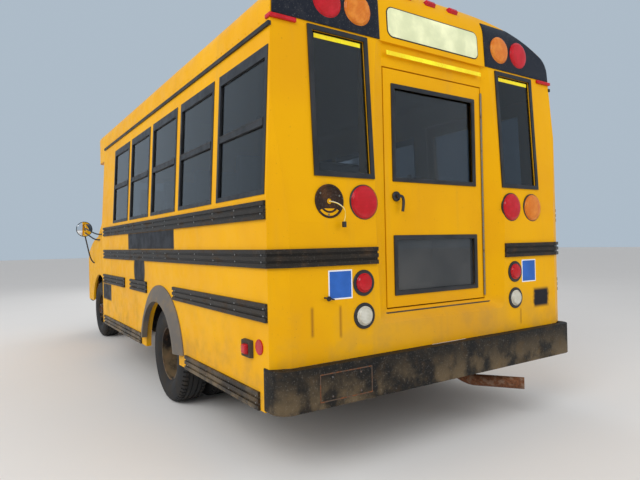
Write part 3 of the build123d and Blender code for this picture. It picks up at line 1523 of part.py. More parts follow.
# Grille panel between the wings
GRILLE_Y = 858
GRILLE_Z = (645, 1005)
SLAT_COUNT = 6
with BuildPart() as grille:
    add(block((at(NOSE_STATION - 20), at(NOSE_STATION + 14)), (-GRILLE_Y, GRILLE_Y), GRILLE_Z))
    slot_height = (GRILLE_Z[1] - GRILLE_Z[0] - 80) / SLAT_COUNT - 18
    with BuildSketch(
        Plane(origin=(at(NOSE_STATION - 30), 0, (GRILLE_Z[0] + GRILLE_Z[1]) / 2), x_dir=(0, 1, 0), z_dir=(1, 0, 0))
    ):
        with GridLocations(0, slot_height + 18, 1, SLAT_COUNT):
            Rectangle(980, slot_height)
    extrude(amount=60, mode=Mode.SUBTRACT)
export(grille, "grille")

# Clear lenses: reversing lamps and headlamps
HEADLAMP_Y = (610, 830)
HEADLAMP_Z = (720, 920)
with BuildPart() as clear_lenses:
    for lens in clear_round:
        add(lens)
    for s in SIDES.values():
        add(
            block(
                (at(NOSE_STATION + 14), at(NOSE_STATION + 30)),
                tuple(sorted((s * HEADLAMP_Y[0], s * HEADLAMP_Y[1]))),
                HEADLAMP_Z,
            )
        )
export(clear_lenses, "clear_lenses")

# Front bumper: bowed bar with returns
front_tip = OVERALL_LENGTH - REAR_BUMPER_REACH
with BuildPart() as front_bumper:
    with BuildSketch(Plane.XY.offset(430)):
        with BuildLine():
            ThreePointArc((at(front_tip - 110), -975), (at(front_tip), 0), (at(front_tip - 110), 975))
            Line((at(front_tip - 110), 975), (at(front_tip - 340), 985))
            Line((at(front_tip - 340), 985), (at(front_tip - 340), 965))
            Line((at(front_tip - 340), 965), (at(front_tip - 130), 950))
            ThreePointArc((at(front_tip - 130), 950), (at(front_tip - 30), 0), (at(front_tip - 130), -950))
            Line((at(front_tip - 130), -950), (at(front_tip - 340), -965))
            Line((at(front_tip - 340), -965), (at(front_tip - 340), -985))
            Line((at(front_tip - 340), -985), (at(front_tip - 110), -975))
        make_face()
    extrude(amount=190)
    for s in SIDES.values():
        add(
            block(
                (at(FRAME_FRONT_STATION), at(front_tip - 40)),
                tuple(sorted((s * (RAIL_Y - 33), s * (RAIL_Y + 33)))),
                (FRAME_Z, 610),
            )
        )
    add(cab_outer, mode=Mode.SUBTRACT)
    add(grille.part, mode=Mode.SUBTRACT)
    add(clear_lenses.part, mode=Mode.SUBTRACT)
export(front_bumper, "front_bumper")

# Side mirrors on two-arm brackets
MIRROR_Y = 1190
with BuildPart() as mirrors:
    add(block((at(5010), at(5050)), (MIRROR_Y - 180, MIRROR_Y), (1450, 1850)))
    for z in (1500, 1780):
        add(block((at(5018), at(5042)), (CAB_TOP_HALF_WIDTH - 20, MIRROR_Y - 150), (z, z + 24)))
    add(cab_outer, mode=Mode.SUBTRACT)
    mirror(about=Plane.XZ)
export(mirrors, "mirrors")
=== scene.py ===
import json
import math

import bpy
from mathutils import Matrix, Vector


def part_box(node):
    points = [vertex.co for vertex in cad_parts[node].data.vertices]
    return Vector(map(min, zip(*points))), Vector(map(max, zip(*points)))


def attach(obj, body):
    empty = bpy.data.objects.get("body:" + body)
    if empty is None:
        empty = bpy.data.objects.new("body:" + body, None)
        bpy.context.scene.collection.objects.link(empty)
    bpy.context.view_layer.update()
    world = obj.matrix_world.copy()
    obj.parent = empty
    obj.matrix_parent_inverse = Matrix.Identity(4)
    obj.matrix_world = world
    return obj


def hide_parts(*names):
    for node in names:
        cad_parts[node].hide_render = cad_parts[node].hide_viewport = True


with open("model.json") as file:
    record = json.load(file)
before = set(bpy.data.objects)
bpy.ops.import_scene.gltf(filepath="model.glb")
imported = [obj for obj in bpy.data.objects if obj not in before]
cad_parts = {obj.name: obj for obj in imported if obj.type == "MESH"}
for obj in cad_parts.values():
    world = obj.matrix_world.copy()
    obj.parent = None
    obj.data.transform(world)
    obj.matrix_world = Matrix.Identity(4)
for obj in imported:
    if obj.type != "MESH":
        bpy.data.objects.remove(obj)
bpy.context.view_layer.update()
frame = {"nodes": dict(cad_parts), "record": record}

bl_info = {
    "name": "Short School Bus Looks",
    "version": (1, 0, 0),
    "blender": (4, 5, 0),
    "location": "3D View > Sidebar > School Bus",
    "description": "Paint, glass, tyres, trim and seats for the packed short school bus",
    "category": "Object",
}

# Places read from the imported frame, in metres
REAR_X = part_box("rear_wall")[0].x
WALL_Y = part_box("side_wall_left")[1].y
DOOR_FACE_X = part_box("rear_door")[0].x
REAR_HUB = Vector((-1.235, 0.0, 0.365))
FRONT_HUB = Vector((2.27, 0.0, 0.365))

# Body sizes that the details follow, in metres
SILL_Z = 1.42
SPRING_Z = 2.385
TUMBLEHOME = 0.05
BEND_Z = 1.3
LEAN_Z = 2.333
LEAN = 0.055
# Curve of the rear cap: centre station and height, radius
CAP_CURVE = (0.2938, 2.5279, 0.2281)


def at(station):
    """Place along X of a distance from the rear face of the body."""
    return REAR_X + station


def wall_y(z):
    """Outer face of the left wall at a height."""
    return WALL_Y - TUMBLEHOME * max(0.0, z - SILL_Z) / (SPRING_Z - SILL_Z)


def rear_x(z):
    """Outer face of the rear wall at a height."""
    return REAR_X + LEAN * max(0.0, z - BEND_Z) / (LEAN_Z - BEND_Z)


def cap_turn(z):
    """Slope of the rear cap's curve at a height, from upright."""
    return math.asin((z - CAP_CURVE[1]) / CAP_CURVE[2])


def cap_x(z):
    """Outer face of the rear cap's curve at a height."""
    return REAR_X + CAP_CURVE[0] - CAP_CURVE[2] * math.cos(cap_turn(z))


# Sizes and colours that a user may change
def colour_setting(name, description, default):
    """Colour in the panel."""
    return bpy.props.FloatVectorProperty(
        name=name, description=description, subtype="COLOR", size=3, default=default
    )


def size_setting(name, description, default, **kind):
    """Number in the panel, with its unit or subtype."""
    return bpy.props.FloatProperty(name=name, description=description, default=default, **kind)


class BusBodySettings(bpy.types.PropertyGroup):
    enamel: colour_setting("Enamel", "Yellow of the body paint", (0.82, 0.41, 0.002))
    enamel_dull: colour_setting("Dull enamel", "Chalked yellow", (0.76, 0.36, 0.004))
    dust: colour_setting("Dust", "Road dust on the lower body", (0.27, 0.19, 0.10))
    patch_black: colour_setting("Patch black", "Black paint patches on the walls", (0.018, 0.018, 0.022))
    rivet_size: size_setting("Rivet size", "Diameter of a body rivet", 0.011, unit="LENGTH")


class BusWheelSettings(bpy.types.PropertyGroup):
    tread_depth: size_setting("Tread depth", "Depth of the grooves", 0.009, unit="LENGTH")
    tread_blocks: bpy.props.IntProperty(name="Tread blocks", description="Blocks round a tyre", default=60)
    rubber: colour_setting("Rubber", "Tyre rubber", (0.016, 0.016, 0.017))


class BusStageSettings(bpy.types.PropertyGroup):
    floor: colour_setting("Floor", "Pale studio floor", (0.78, 0.77, 0.75))
    key_power: size_setting("Key light", "Power of the large soft light", 305.0, unit="POWER")
    lens: size_setting("Lens", "Focal length on a 36 mm sensor", 29.3, subtype="DISTANCE_CAMERA")


# Mesh helpers
TURNS = {"X": (0, math.pi / 2, 0), "Y": (math.pi / 2, 0, 0), "Z": (0, 0, 0)}
AHEAD = {"X": Vector((1, 0, 0)), "Y": Vector((0, 1, 0))}
# Faces round a turned piece, unless it asks for others
ROUND_SIDES = 48


def edit_mode():
    """Enter edit mode."""
    bpy.ops.object.mode_set(mode="EDIT")


def object_mode():
    """Leave edit mode."""
    bpy.ops.object.mode_set(mode="OBJECT")


def select_whole():
    """All of the open mesh selected."""
    bpy.ops.mesh.select_all(action="SELECT")


def deselect():
    """Nothing selected and nothing active."""
    if bpy.context.object and bpy.context.object.mode != "OBJECT":
        object_mode()
    bpy.ops.object.select_all(action="DESELECT")
    bpy.context.view_layer.objects.active = None


def choose(*objects):
    """These objects selected, the first one active."""
    deselect()
    for piece in objects:
        piece.select_set(True)
    bpy.context.view_layer.objects.active = objects[0]


def new_piece(name):
    """Name the primitive just added and put its place into its mesh."""
    piece = bpy.context.object
    piece.name = name
    piece.data.name = name
    choose(piece)
    bpy.ops.object.transform_apply(location=True, rotation=True, scale=True)
    return piece


def slab(name, low, high):
    """Box between two corners, as a start."""
    deselect()
    low, high = Vector(low), Vector(high)
    bpy.ops.mesh.primitive_cube_add(size=1, location=(low + high) / 2, scale=high - low)
    return new_piece(name)


def modifier(piece, kind, **settings):
    """Add a modifier and apply it."""
    choose(piece)
    added = piece.modifiers.new(kind.title(), kind)
    for key, value in settings.items():
        setattr(added, key, value)
    bpy.ops.object.modifier_apply(modifier=added.name)


def bevel(piece, width, segments=2, angle=35):
    """Rounded edges."""
    modifier(
        piece, "BEVEL", width=width, segments=segments, limit_method="ANGLE", angle_limit=math.radians(angle)
    )


def block(name, low, high, edge, segments=2):
    """Box between two corners with rounded edges."""
    piece = slab(name, low, high)
    bevel(piece, edge, segments)
    return piece


def rod(name, centre, radius, depth, axis, sides, edge=0.0, segments=2, angle=35):
    """Cylinder with its middle at a point, along an axis, with rounded rims."""
    deselect()
    bpy.ops.mesh.primitive_cylinder_add(
        vertices=sides, radius=radius, depth=depth, location=centre, rotation=TURNS[axis]
    )
    piece = new_piece(name)
    if edge:
        bevel(piece, edge, segments, angle)
    return piece


def lathe(name, centre, axis, profile, sides=ROUND_SIDES, closed=False):
    """Ring drawn out along (radius, offset) steps about an axis."""
    ahead = AHEAD[axis]
    centre = Vector(centre)
    radius, offset = profile[0]
    deselect()
    bpy.ops.mesh.primitive_circle_add(
        vertices=sides, radius=radius, location=centre + ahead * offset, rotation=TURNS[axis],
        fill_type="NOTHING",
    )
    piece = new_piece(name)
    edit_mode()
    bpy.ops.mesh.select_mode(type="VERT")
    select_whole()
    for next_radius, next_offset in profile[1:]:
        bpy.ops.mesh.extrude_edges_move(TRANSFORM_OT_translate={"value": ahead * (next_offset - offset)})
        grow = next_radius / radius
        bpy.ops.transform.resize(value=(grow, grow, grow), center_override=centre + ahead * next_offset)
        radius, offset = next_radius, next_offset
    select_whole()
    bpy.ops.mesh.remove_doubles(threshold=0.00005)
    if closed:
        bpy.ops.mesh.select_all(action="DESELECT")
        bpy.ops.mesh.select_non_manifold()
        bpy.ops.mesh.fill_holes(sides=0)
    select_whole()
    bpy.ops.mesh.normals_make_consistent(inside=False)
    object_mode()
    return piece


def open_unselected(piece, elements):
    """Everything in a piece deselected, before its faces or edges are picked."""
    choose(piece)
    edit_mode()
    bpy.ops.mesh.select_mode(type=elements)
    bpy.ops.mesh.select_all(action="DESELECT")
    object_mode()


def pick_faces(piece, test):
    """Edit mode with the faces selected whose centre and normal pass a test."""
    open_unselected(piece, "FACE")
    for face in piece.data.polygons:
        face.select = test(face.center, face.normal)
    edit_mode()


def pick_edges(piece, test):
    """Edit mode with the edges selected whose two ends pass a test."""
    open_unselected(piece, "EDGE")
    for edge in piece.data.edges:
        edge.select = test(*(piece.data.vertices[i].co for i in edge.vertices))
    edit_mode()


def facing(x=0, y=0, z=0):
    """Test for the faces that point along a direction."""
    return lambda place, normal: normal.dot(Vector((x, y, z))) > 0.9


def pressed(piece, test, inset, move):
    """Panel pressed into the faces that pass a test."""
    pick_faces(piece, test)
    bpy.ops.mesh.inset(thickness=inset)
    bpy.ops.transform.translate(value=move)
    object_mode()


def shifted(piece, test, move):
    """Faces that pass a test moved along, and their neighbours with them."""
    pick_faces(piece, test)
    bpy.ops.transform.translate(value=move)
    object_mode()


def drawn_out(piece, test, move):
    """Faces that pass a test extruded along a step."""
    pick_faces(piece, test)
    bpy.ops.mesh.extrude_region_move(TRANSFORM_OT_translate={"value": move})
    object_mode()


def row(piece, step, count):
    """Repeat a piece along a step."""
    modifier(
        piece, "ARRAY", count=count, use_relative_offset=False, use_constant_offset=True,
        constant_offset_displace=step,
    )


def copy_of(piece, name, move=(0, 0, 0)):
    """Copy with its own mesh, moved."""
    twin = piece.copy()
    twin.data = piece.data.copy()
    twin.name = name
    bpy.context.scene.collection.objects.link(twin)
    twin.data.transform(Matrix.Translation(Vector(move)))
    return twin


def across(piece, name):
    """Mirror image on the other side of the vehicle."""
    twin = copy_of(piece, name)
    twin.data.transform(Matrix.Scale(-1, 4, (0, 1, 0)))
    twin.data.flip_normals()
    return twin


def moved_across(piece):
    """The piece on the other side of the vehicle, under its own name."""
    name = piece.name
    twin = across(piece, name)
    bpy.data.objects.remove(piece)
    twin.name = name
    return twin


def joined(name, pieces):
    """One piece from several."""
    choose(*pieces)
    if len(pieces) > 1:
        bpy.ops.object.join()
    whole = bpy.context.object
    whole.name = name
    whole.data.name = name
    return whole


def window_ring(name, centre, half_width, half_height, bar, depth):
    """Rounded rectangular ring that stands on a wall facing along X."""
    centre = Vector(centre)
    reach = Vector((depth / 2, half_width, half_height))
    ring = slab(name, centre - reach, centre + reach)
    pick_faces(ring, lambda place, normal: abs(normal.x) > 0.9)
    bpy.ops.mesh.inset(thickness=bar, use_individual=True)
    bpy.ops.mesh.delete(type="FACE")
    bpy.ops.mesh.select_mode(type="EDGE")
    bpy.ops.mesh.select_non_manifold()
    bpy.ops.mesh.bridge_edge_loops()
    select_whole()
    bpy.ops.mesh.normals_make_consistent(inside=False)
    object_mode()
    bevel(ring, min(bar, depth) * 0.3, 2, 40)
    return ring


def smooth_line(name, points, radius, sides=4):
    """Round curve that follows points smoothly."""
    curve = bpy.data.curves.new(name, "CURVE")
    curve.dimensions = "3D"
    curve.bevel_depth = radius
    curve.bevel_resolution = sides
    curve.resolution_u = 12
    spline = curve.splines.new("NURBS")
    spline.points.add(len(points) - 1)
    for point, place in zip(spline.points, points):
        point.co = (*place, 1)
    spline.order_u = 3
    spline.use_endpoint_u = True
    line = bpy.data.objects.new(name, curve)
    bpy.context.scene.collection.objects.link(line)
    return line


def tube(name, points, radius, sides=4):
    """Round bar along points, made a mesh."""
    bar = smooth_line(name, points, radius, sides)
    bar.data.use_fill_caps = True
    choose(bar)
    bpy.ops.object.convert(target="MESH")
    return bpy.context.object


def dress(piece, body, slot, finish=None, angle=35, stands_for=None):
    """Finish (the slot's unless named), smooth shading, body and replaced node of a new piece."""
    piece.data.materials.clear()
    piece.data.materials.append(FINISHES[finish or slot])
    choose(piece)
    bpy.ops.object.shade_smooth_by_angle(angle=math.radians(angle))
    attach(piece, body)
    if stands_for:
        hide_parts(stands_for)


# Material helpers
def scaled(colour, share):
    """Darker or lighter colour."""
    return tuple(share * c for c in colour)


class Finish:
    """One material and the short calls that build its nodes."""

    def __init__(self, name, colour, roughness, metallic=0.0):
        self.material = bpy.data.materials.new(name)
        self.material.use_nodes = True
        self.tree = self.material.node_tree
        self.shader = self.tree.nodes["Principled BSDF"]
        self.fix("Base Color", (*colour, 1))
        self.fix("Roughness", roughness)
        self.fix("Metallic", metallic)
        self.place = self.tree.nodes.new("ShaderNodeTexCoord").outputs["Object"]
        split = self.tree.nodes.new("ShaderNodeSeparateXYZ")
        self.tree.links.new(self.place, split.inputs[0])
        self.x, self.y, self.z = split.outputs

    def fix(self, socket, value):
        """Plain value on the shader's own socket."""
        self.shader.inputs[socket].default_value = value

    def put(self, socket, value):
        """Link an output, or set a plain value."""
        if isinstance(value, bpy.types.NodeSocket):
            self.tree.links.new(value, socket)
        elif hasattr(value, "__len__") and len(value) == 3 and socket.type == "RGBA":
            socket.default_value = (*value, 1)
        else:
            socket.default_value = value

    def texture(self, kind, scale, stretch=(1, 1, 1)):
        """Texture over the piece's own place."""
        mapping = self.tree.nodes.new("ShaderNodeMapping")
        mapping.inputs["Scale"].default_value = stretch
        self.tree.links.new(self.place, mapping.inputs["Vector"])
        texture = self.tree.nodes.new(kind)
        texture.inputs["Scale"].default_value = scale
        self.tree.links.new(mapping.outputs["Vector"], texture.inputs["Vector"])
        return texture

    def noise(self, scale, detail, stretch=(1, 1, 1)):
        """Noise of a scale and detail."""
        texture = self.texture("ShaderNodeTexNoise", scale, stretch)
        texture.inputs["Detail"].default_value = detail
        texture.inputs["Roughness"].default_value = 0.55
        return texture.outputs["Fac"]

    def cells(self, scale):
        """Distance in a field of cells."""
        return self.texture("ShaderNodeTexVoronoi", scale).outputs["Distance"]

    def fade(self, value, low, high, start=0.0, end=1.0):
        """Smooth step of a value between two limits."""
        step = self.tree.nodes.new("ShaderNodeMapRange")
        step.interpolation_type = "SMOOTHSTEP"
        self.put(step.inputs["Value"], value)
        for socket, limit in (("From Min", low), ("From Max", high), ("To Min", start), ("To Max", end)):
            step.inputs[socket].default_value = limit
        return step.outputs["Result"]

    def maths(self, kind, first, second=0.0):
        """One sum, product or other step."""
        step = self.tree.nodes.new("ShaderNodeMath")
        step.operation = kind
        self.put(step.inputs[0], first)
        self.put(step.inputs[1], second)
        return step.outputs[0]

    def times(self, first, second):
        """Product."""
        return self.maths("MULTIPLY", first, second)

    def plus(self, first, second):
        """Sum."""
        return self.maths("ADD", first, second)

    def mix(self, amount, first, second):
        """Blend of two colours."""
        step = self.tree.nodes.new("ShaderNodeMix")
        step.data_type = "RGBA"
        for index, value in ((0, amount), (6, first), (7, second)):
            self.put(step.inputs[index], value)
        return step.outputs[2]

    def wash(self, tone, mask, share, colour):
        """A share of a colour over a tone, where the mask is."""
        return self.mix(self.times(mask, share), tone, colour)

    def near(self, value, centre, half, soft):
        """One where a coordinate is within half of a centre."""
        away = self.maths("ABSOLUTE", self.maths("SUBTRACT", value, centre))
        return self.fade(away, half + soft, half - soft)

    def panel(self, first, second, centre, half, soft):
        """One inside a rectangle of two coordinates."""
        return self.times(*(self.near(*side, soft) for side in zip((first, second), centre, half)))

    def spot(self, first, second, centre, radius, soft):
        """One inside a disc of two coordinates."""
        along, up = (self.maths("SUBTRACT", value, place) for value, place in zip((first, second), centre))
        squares = self.plus(self.times(along, along), self.times(up, up))
        return self.fade(self.maths("SQRT", squares), radius + soft, radius - soft)

    def colour(self, value):
        """Colour socket of the shader."""
        self.put(self.shader.inputs["Base Color"], value)

    def rough(self, value):
        """Roughness socket of the shader."""
        self.put(self.shader.inputs["Roughness"], value)

    def bump(self, height, distance, strength):
        """Relief on the surface."""
        node = self.tree.nodes.new("ShaderNodeBump")
        node.inputs["Strength"].default_value = strength
        node.inputs["Distance"].default_value = distance
        self.put(node.inputs["Height"], height)
        self.tree.links.new(node.outputs["Normal"], self.shader.inputs["Normal"])


# Patches of black paint on the left wall: station and height of the middle, half length and half height
LEFT_PATCHES = (((2.125, 1.240), (0.665, 0.075)), ((3.755, 0.715), (0.205, 0.085)))
# Disc of black paint on the left wall: station and height, radius
LEFT_DISC = ((2.42, 0.99), 0.18)
# Patch of black paint on the rear wall: y and height of the middle, half width and half height
REAR_PATCH = ((-0.905, 0.782), (0.085, 0.062))
# Rust runs on the rear wall: y, top z, bottom z, half width
RUST_RUNS = (
    (0.974, 0.867, 0.72, 0.006),
    (0.800, 0.862, 0.70, 0.005),
    (-0.70, 0.72, 0.62, 0.004),
)
RUN_BROWN = (0.16, 0.05, 0.015)
CHIP_BROWN = (0.12, 0.06, 0.03)
# Share of the tint's colour that is left in the rear windows
REAR_TINT = 0.7
# Side of a lens prism
PRISM = 0.0075


def enamel(name, marks=None):
    """School bus enamel with chalking, streaks, dust and chips."""
    look = bpy.context.scene.bus_body
    paint = Finish(name, look.enamel, 0.42)
    paint.fix("Specular IOR Level", 0.09)
    tone = paint.mix(paint.fade(paint.noise(1.7, 3), 0.35, 0.7), look.enamel, look.enamel_dull)
    streaks = paint.fade(paint.noise(9, 3, (1, 1, 0.07)), 0.56, 0.78)
    tone = paint.wash(tone, streaks, 0.12, look.dust)
    grime = paint.times(paint.fade(paint.z, 1.05, 0.35), paint.fade(paint.noise(5, 6), 0.42, 0.72))
    tone = paint.wash(tone, grime, 0.42, look.dust)
    tone = paint.wash(tone, paint.fade(paint.noise(85, 2), 0.70, 0.76), 0.35, CHIP_BROWN)
    if marks:
        tone = marks(paint, tone)
    paint.colour(tone)
    paint.rough(paint.plus(paint.fade(paint.noise(12, 5), 0.3, 0.75, 0.32, 0.52), paint.times(grime, 0.25)))
    paint.bump(paint.plus(paint.noise(6, 2), paint.times(paint.noise(160, 2), 0.06)), 0.004, 0.35)
    return paint.material


def left_wall_marks(paint, tone):
    """Worn patches of black paint on the left wall."""
    worn = paint.fade(paint.noise(40, 4), 0.20, 0.30)
    station = paint.maths("SUBTRACT", paint.x, REAR_X)
    marks = [paint.panel(station, paint.z, middle, half, 0.012) for middle, half in LEFT_PATCHES]
    marks.append(paint.spot(station, paint.z, *LEFT_DISC, 0.02))
    for mark in marks:
        tone = paint.wash(tone, mark, worn, bpy.context.scene.bus_body.patch_black)
    return tone


def rear_wall_marks(paint, tone):
    """Sprayed patch low on the right, rust runs, and dirt below the shelf."""
    look = bpy.context.scene.bus_body
    side = paint.plus(paint.y, paint.times(paint.noise(24, 4), 0.05))
    tone = paint.mix(paint.panel(side, paint.z, *REAR_PATCH, 0.016), tone, look.patch_black)
    for y, top, bottom, half in RUST_RUNS:
        run = paint.panel(paint.y, paint.z, (y, (top + bottom) / 2), (half, (top - bottom) / 2), 0.012)
        tone = paint.wash(tone, run, 0.75, RUN_BROWN)
    shelf = paint.panel(paint.y, paint.z, (0.0, 0.70), (0.56, 0.09), 0.05)
    return paint.wash(tone, shelf, 0.16, look.dust)


def worn_black(name, colour, wear, amount, roughness=0.42, relief=0.0006):
    """Black paint worn through to a second colour, with dust low down."""
    paint = Finish(name, colour, roughness)
    paint.fix("Specular IOR Level", 0.22)
    rub = paint.fade(paint.noise(14, 7, (0.5, 1, 1)), 0.50, 0.70)
    tone = paint.wash(colour, rub, amount, wear)
    tone = paint.wash(tone, paint.fade(paint.noise(120, 3), 0.58, 0.70), 0.4 * amount, (0.30, 0.28, 0.26))
    low = paint.times(paint.fade(paint.z, 0.62, 0.30), paint.fade(paint.noise(7, 5), 0.38, 0.62))
    paint.colour(paint.wash(tone, low, 0.55, bpy.context.scene.bus_body.dust))
    paint.rough(paint.fade(rub, 0.0, 1.0, roughness, roughness + 0.25))
    paint.bump(paint.noise(55, 5), relief, 0.5)
    return paint.material


def rubber(name, colour, roughness, dusty):
    """Weathered rubber with a dusty bloom."""
    skin = Finish(name, colour, roughness)
    bloom = skin.fade(skin.noise(10, 6), 0.40, 0.68)
    skin.colour(skin.wash(colour, bloom, dusty, bpy.context.scene.bus_body.dust))
    skin.rough(skin.fade(bloom, 0, 1, roughness, min(1.0, roughness + 0.18)))
    skin.bump(skin.noise(220, 3), 0.0005, 0.5)
    return skin.material


def metal(name, colour, roughness, rust, rust_colour=(0.20, 0.07, 0.025)):
    """Bare or plated metal, rusted by a share."""
    skin = Finish(name, colour, roughness, metallic=0.9 if rust < 0.4 else 0.0)
    spread = skin.fade(skin.noise(26, 7), 0.62 - 0.3 * rust, 0.80 - 0.3 * rust)
    flakes = skin.fade(skin.noise(90, 5), 0.35, 0.7)
    deep = skin.mix(flakes, rust_colour, scaled(rust_colour, 0.45))
    skin.colour(skin.wash(colour, spread, min(1.0, rust * 2), deep))
    skin.rough(skin.fade(spread, 0, 1, roughness, 0.85))
    skin.bump(skin.noise(150, 5), 0.0007, 0.6)
    return skin.material


def plastic(name, colour, roughness=0.5, grain=180):
    """Moulded plastic with a fine grain."""
    skin = Finish(name, colour, roughness)
    cloud = skin.fade(skin.noise(6, 4), 0.35, 0.7)
    skin.colour(skin.mix(cloud, colour, tuple(min(1.0, 1.35 * c + 0.008) for c in colour)))
    skin.rough(skin.fade(skin.noise(20, 4), 0.3, 0.7, roughness - 0.06, roughness + 0.1))
    skin.bump(skin.cells(grain), 0.0003, 0.4)
    return skin.material


def lens(name, colour, glow):
    """Moulded lens with small square prisms inside and a clear gloss."""
    skin = Finish(name, colour, 0.16)
    for socket, value in (
        ("Coat Weight", 0.25), ("Coat Roughness", 0.06), ("Specular IOR Level", 0.25),
        ("Transmission Weight", 0.1), ("IOR", 1.49),
    ):
        skin.fix(socket, value)
    rows, lines = (skin.maths("PINGPONG", value, PRISM / 2) for value in (skin.y, skin.z))
    prism = skin.plus(skin.times(rows, rows), skin.times(lines, lines))
    tone = skin.mix(skin.fade(prism, 0.0, PRISM**2 / 4), colour, scaled(colour, 0.72))
    skin.colour(skin.wash(tone, skin.fade(skin.noise(18, 3), 0.4, 0.7), 0.35, glow))
    skin.bump(skin.times(prism, 40000.0), 0.0006, 0.55)
    return skin.material


def tinted_glass(name, colour, roughness=0.03, dusty_below=0.0):
    """Tinted safety glass with a faint film, darker at the rear, and dusty below a height."""
    skin = Finish(name, colour, roughness)
    skin.fix("IOR", 1.45)
    skin.fix("Specular IOR Level", 0.85)
    film = skin.fade(skin.noise(3.5, 6, (1, 1, 0.35)), 0.45, 0.75)
    tone = skin.wash(colour, film, 0.25, scaled(colour, 0.6))
    tone = skin.mix(skin.fade(skin.x, at(0.20), at(0.12)), tone, scaled(colour, REAR_TINT))
    skin.fix("Transmission Weight", 1.0)
    if dusty_below:
        low = skin.fade(skin.z, dusty_below + 0.01, dusty_below - 0.01)
        dust = skin.times(low, skin.fade(skin.noise(2.6, 5), 0.25, 0.75, 0.25, 0.62))
        tone = skin.mix(dust, tone, (0.10, 0.08, 0.055))
        skin.put(skin.shader.inputs["Transmission Weight"], skin.maths("SUBTRACT", 1.0, dust))
    skin.colour(tone)
    skin.rough(skin.fade(film, 0, 1, roughness, roughness + 0.06))
    return skin.material


def ribbed_floor(name, colour):
    """Ribbed floor covering with dirt in its grooves."""
    skin = Finish(name, colour, 0.7)
    dirt = skin.fade(skin.noise(4, 6), 0.35, 0.7)
    skin.colour(skin.wash(colour, dirt, 0.45, bpy.context.scene.bus_body.dust))
    skin.rough(skin.fade(dirt, 0, 1, 0.55, 0.85))
    skin.bump(skin.times(skin.maths("PINGPONG", skin.y, 0.006), 160.0), 0.002, 0.6)
    return skin.material


def vinyl(name, colour):
    """Seat vinyl with a leather grain and rubbed high spots."""
    skin = Finish(name, colour, 0.45)
    rub = skin.fade(skin.noise(5, 5), 0.45, 0.75)
    skin.colour(skin.wash(colour, rub, 0.5, scaled(colour, 1.6)))
    skin.rough(skin.fade(rub, 0, 1, 0.38, 0.58))
    skin.bump(skin.cells(330), 0.0006, 0.5)
    return skin.material


# Finishes: maker, then its colours and settings
FINISH_TABLE = {
    "trim_black": (plastic, (0.012, 0.012, 0.014), 0.42),
    "rail_black": (worn_black, (0.020, 0.016, 0.012), (0.085, 0.050, 0.026), 0.55),
    "panel_black": (worn_black, (0.010, 0.012, 0.020), (0.035, 0.037, 0.045), 0.5, 0.36, 0.0003),
    "flare_rubber": (rubber, (0.13, 0.115, 0.10), 0.75, 0.45),
    "bumper_black": (worn_black, (0.010, 0.009, 0.008), (0.060, 0.042, 0.026), 0.55, 0.6, 0.001),
    "floor_rubber": (ribbed_floor, (0.02, 0.02, 0.022)),
    "chassis_black": (worn_black, (0.014, 0.013, 0.013), (0.13, 0.06, 0.03), 0.7, 0.6, 0.001),
    "engine_grey": (metal, (0.16, 0.16, 0.165), 0.6, 0.25),
    "tank_steel": (worn_black, (0.03, 0.03, 0.032), (0.15, 0.11, 0.08), 0.6, 0.55),
    "exhaust_steel": (metal, (0.22, 0.13, 0.08), 0.75, 0.9),
    "window_glass": (tinted_glass, (0.20, 0.235, 0.27)),
    "rear_door_pane": (tinted_glass, (0.20, 0.24, 0.28), 0.03, 1.22),
    "lens_red": (lens, (0.62, 0.004, 0.010), (0.80, 0.012, 0.035)),
    "lens_amber": (lens, (0.86, 0.22, 0.008), (1.0, 0.42, 0.05)),
    "lens_clear": (lens, (0.72, 0.70, 0.58), (0.9, 0.9, 0.84)),
    "seat_vinyl": (vinyl, (0.055, 0.065, 0.085)),
    "seat_steel": (worn_black, (0.03, 0.03, 0.032), (0.22, 0.21, 0.2), 0.4, 0.45),
    "dash_plastic": (plastic, (0.10, 0.10, 0.105), 0.6, 260),
    "grille_black": (plastic, (0.02, 0.02, 0.022)),
    "mirror_black": (plastic, (0.014, 0.014, 0.015), 0.45),
    "handle_grey": (metal, (0.07, 0.07, 0.075), 0.5, 0.15),
    "rim_paint": (worn_black, (0.018, 0.016, 0.015), (0.20, 0.09, 0.04), 0.6, 0.55, 0.001),
    "rivet_steel": (metal, (0.55, 0.54, 0.52), 0.35, 0.12),
    "sign_face": (plastic, (0.72, 0.76, 0.46), 0.35, 900),
    "strip_yellow": (plastic, (0.92, 0.70, 0.0), 0.3, 700),
    "label_blue": (plastic, (0.010, 0.10, 0.42), 0.4, 700),
    "label_white": (plastic, (0.80, 0.82, 0.84), 0.4, 700),
    "bulb_housing": (plastic, (0.045, 0.032, 0.02), 0.7),
    "wire_white": (plastic, (0.75, 0.73, 0.66)),
    "wire_yellow": (plastic, (0.72, 0.52, 0.08)),
    "nut_steel": (metal, (0.10, 0.09, 0.085), 0.55, 0.5),
    "hinge_steel": (metal, (0.30, 0.27, 0.22), 0.5, 0.2),
    "socket_brown": (worn_black, (0.035, 0.020, 0.014), (0.10, 0.045, 0.02), 0.7, 0.7, 0.001),
    "plate_rust": (metal, (0.09, 0.06, 0.04), 0.7, 0.7),
    "connector_black": (plastic, (0.02, 0.02, 0.022), 0.45),
}
FINISHES = {}
# Nodes whose finish isn't their slot's
SPECIAL_PAINT = {
    "side_wall_left": "left_wall_paint",
    "rear_wall": "rear_wall_paint",
    "rear_door_glass": "rear_door_pane",
}


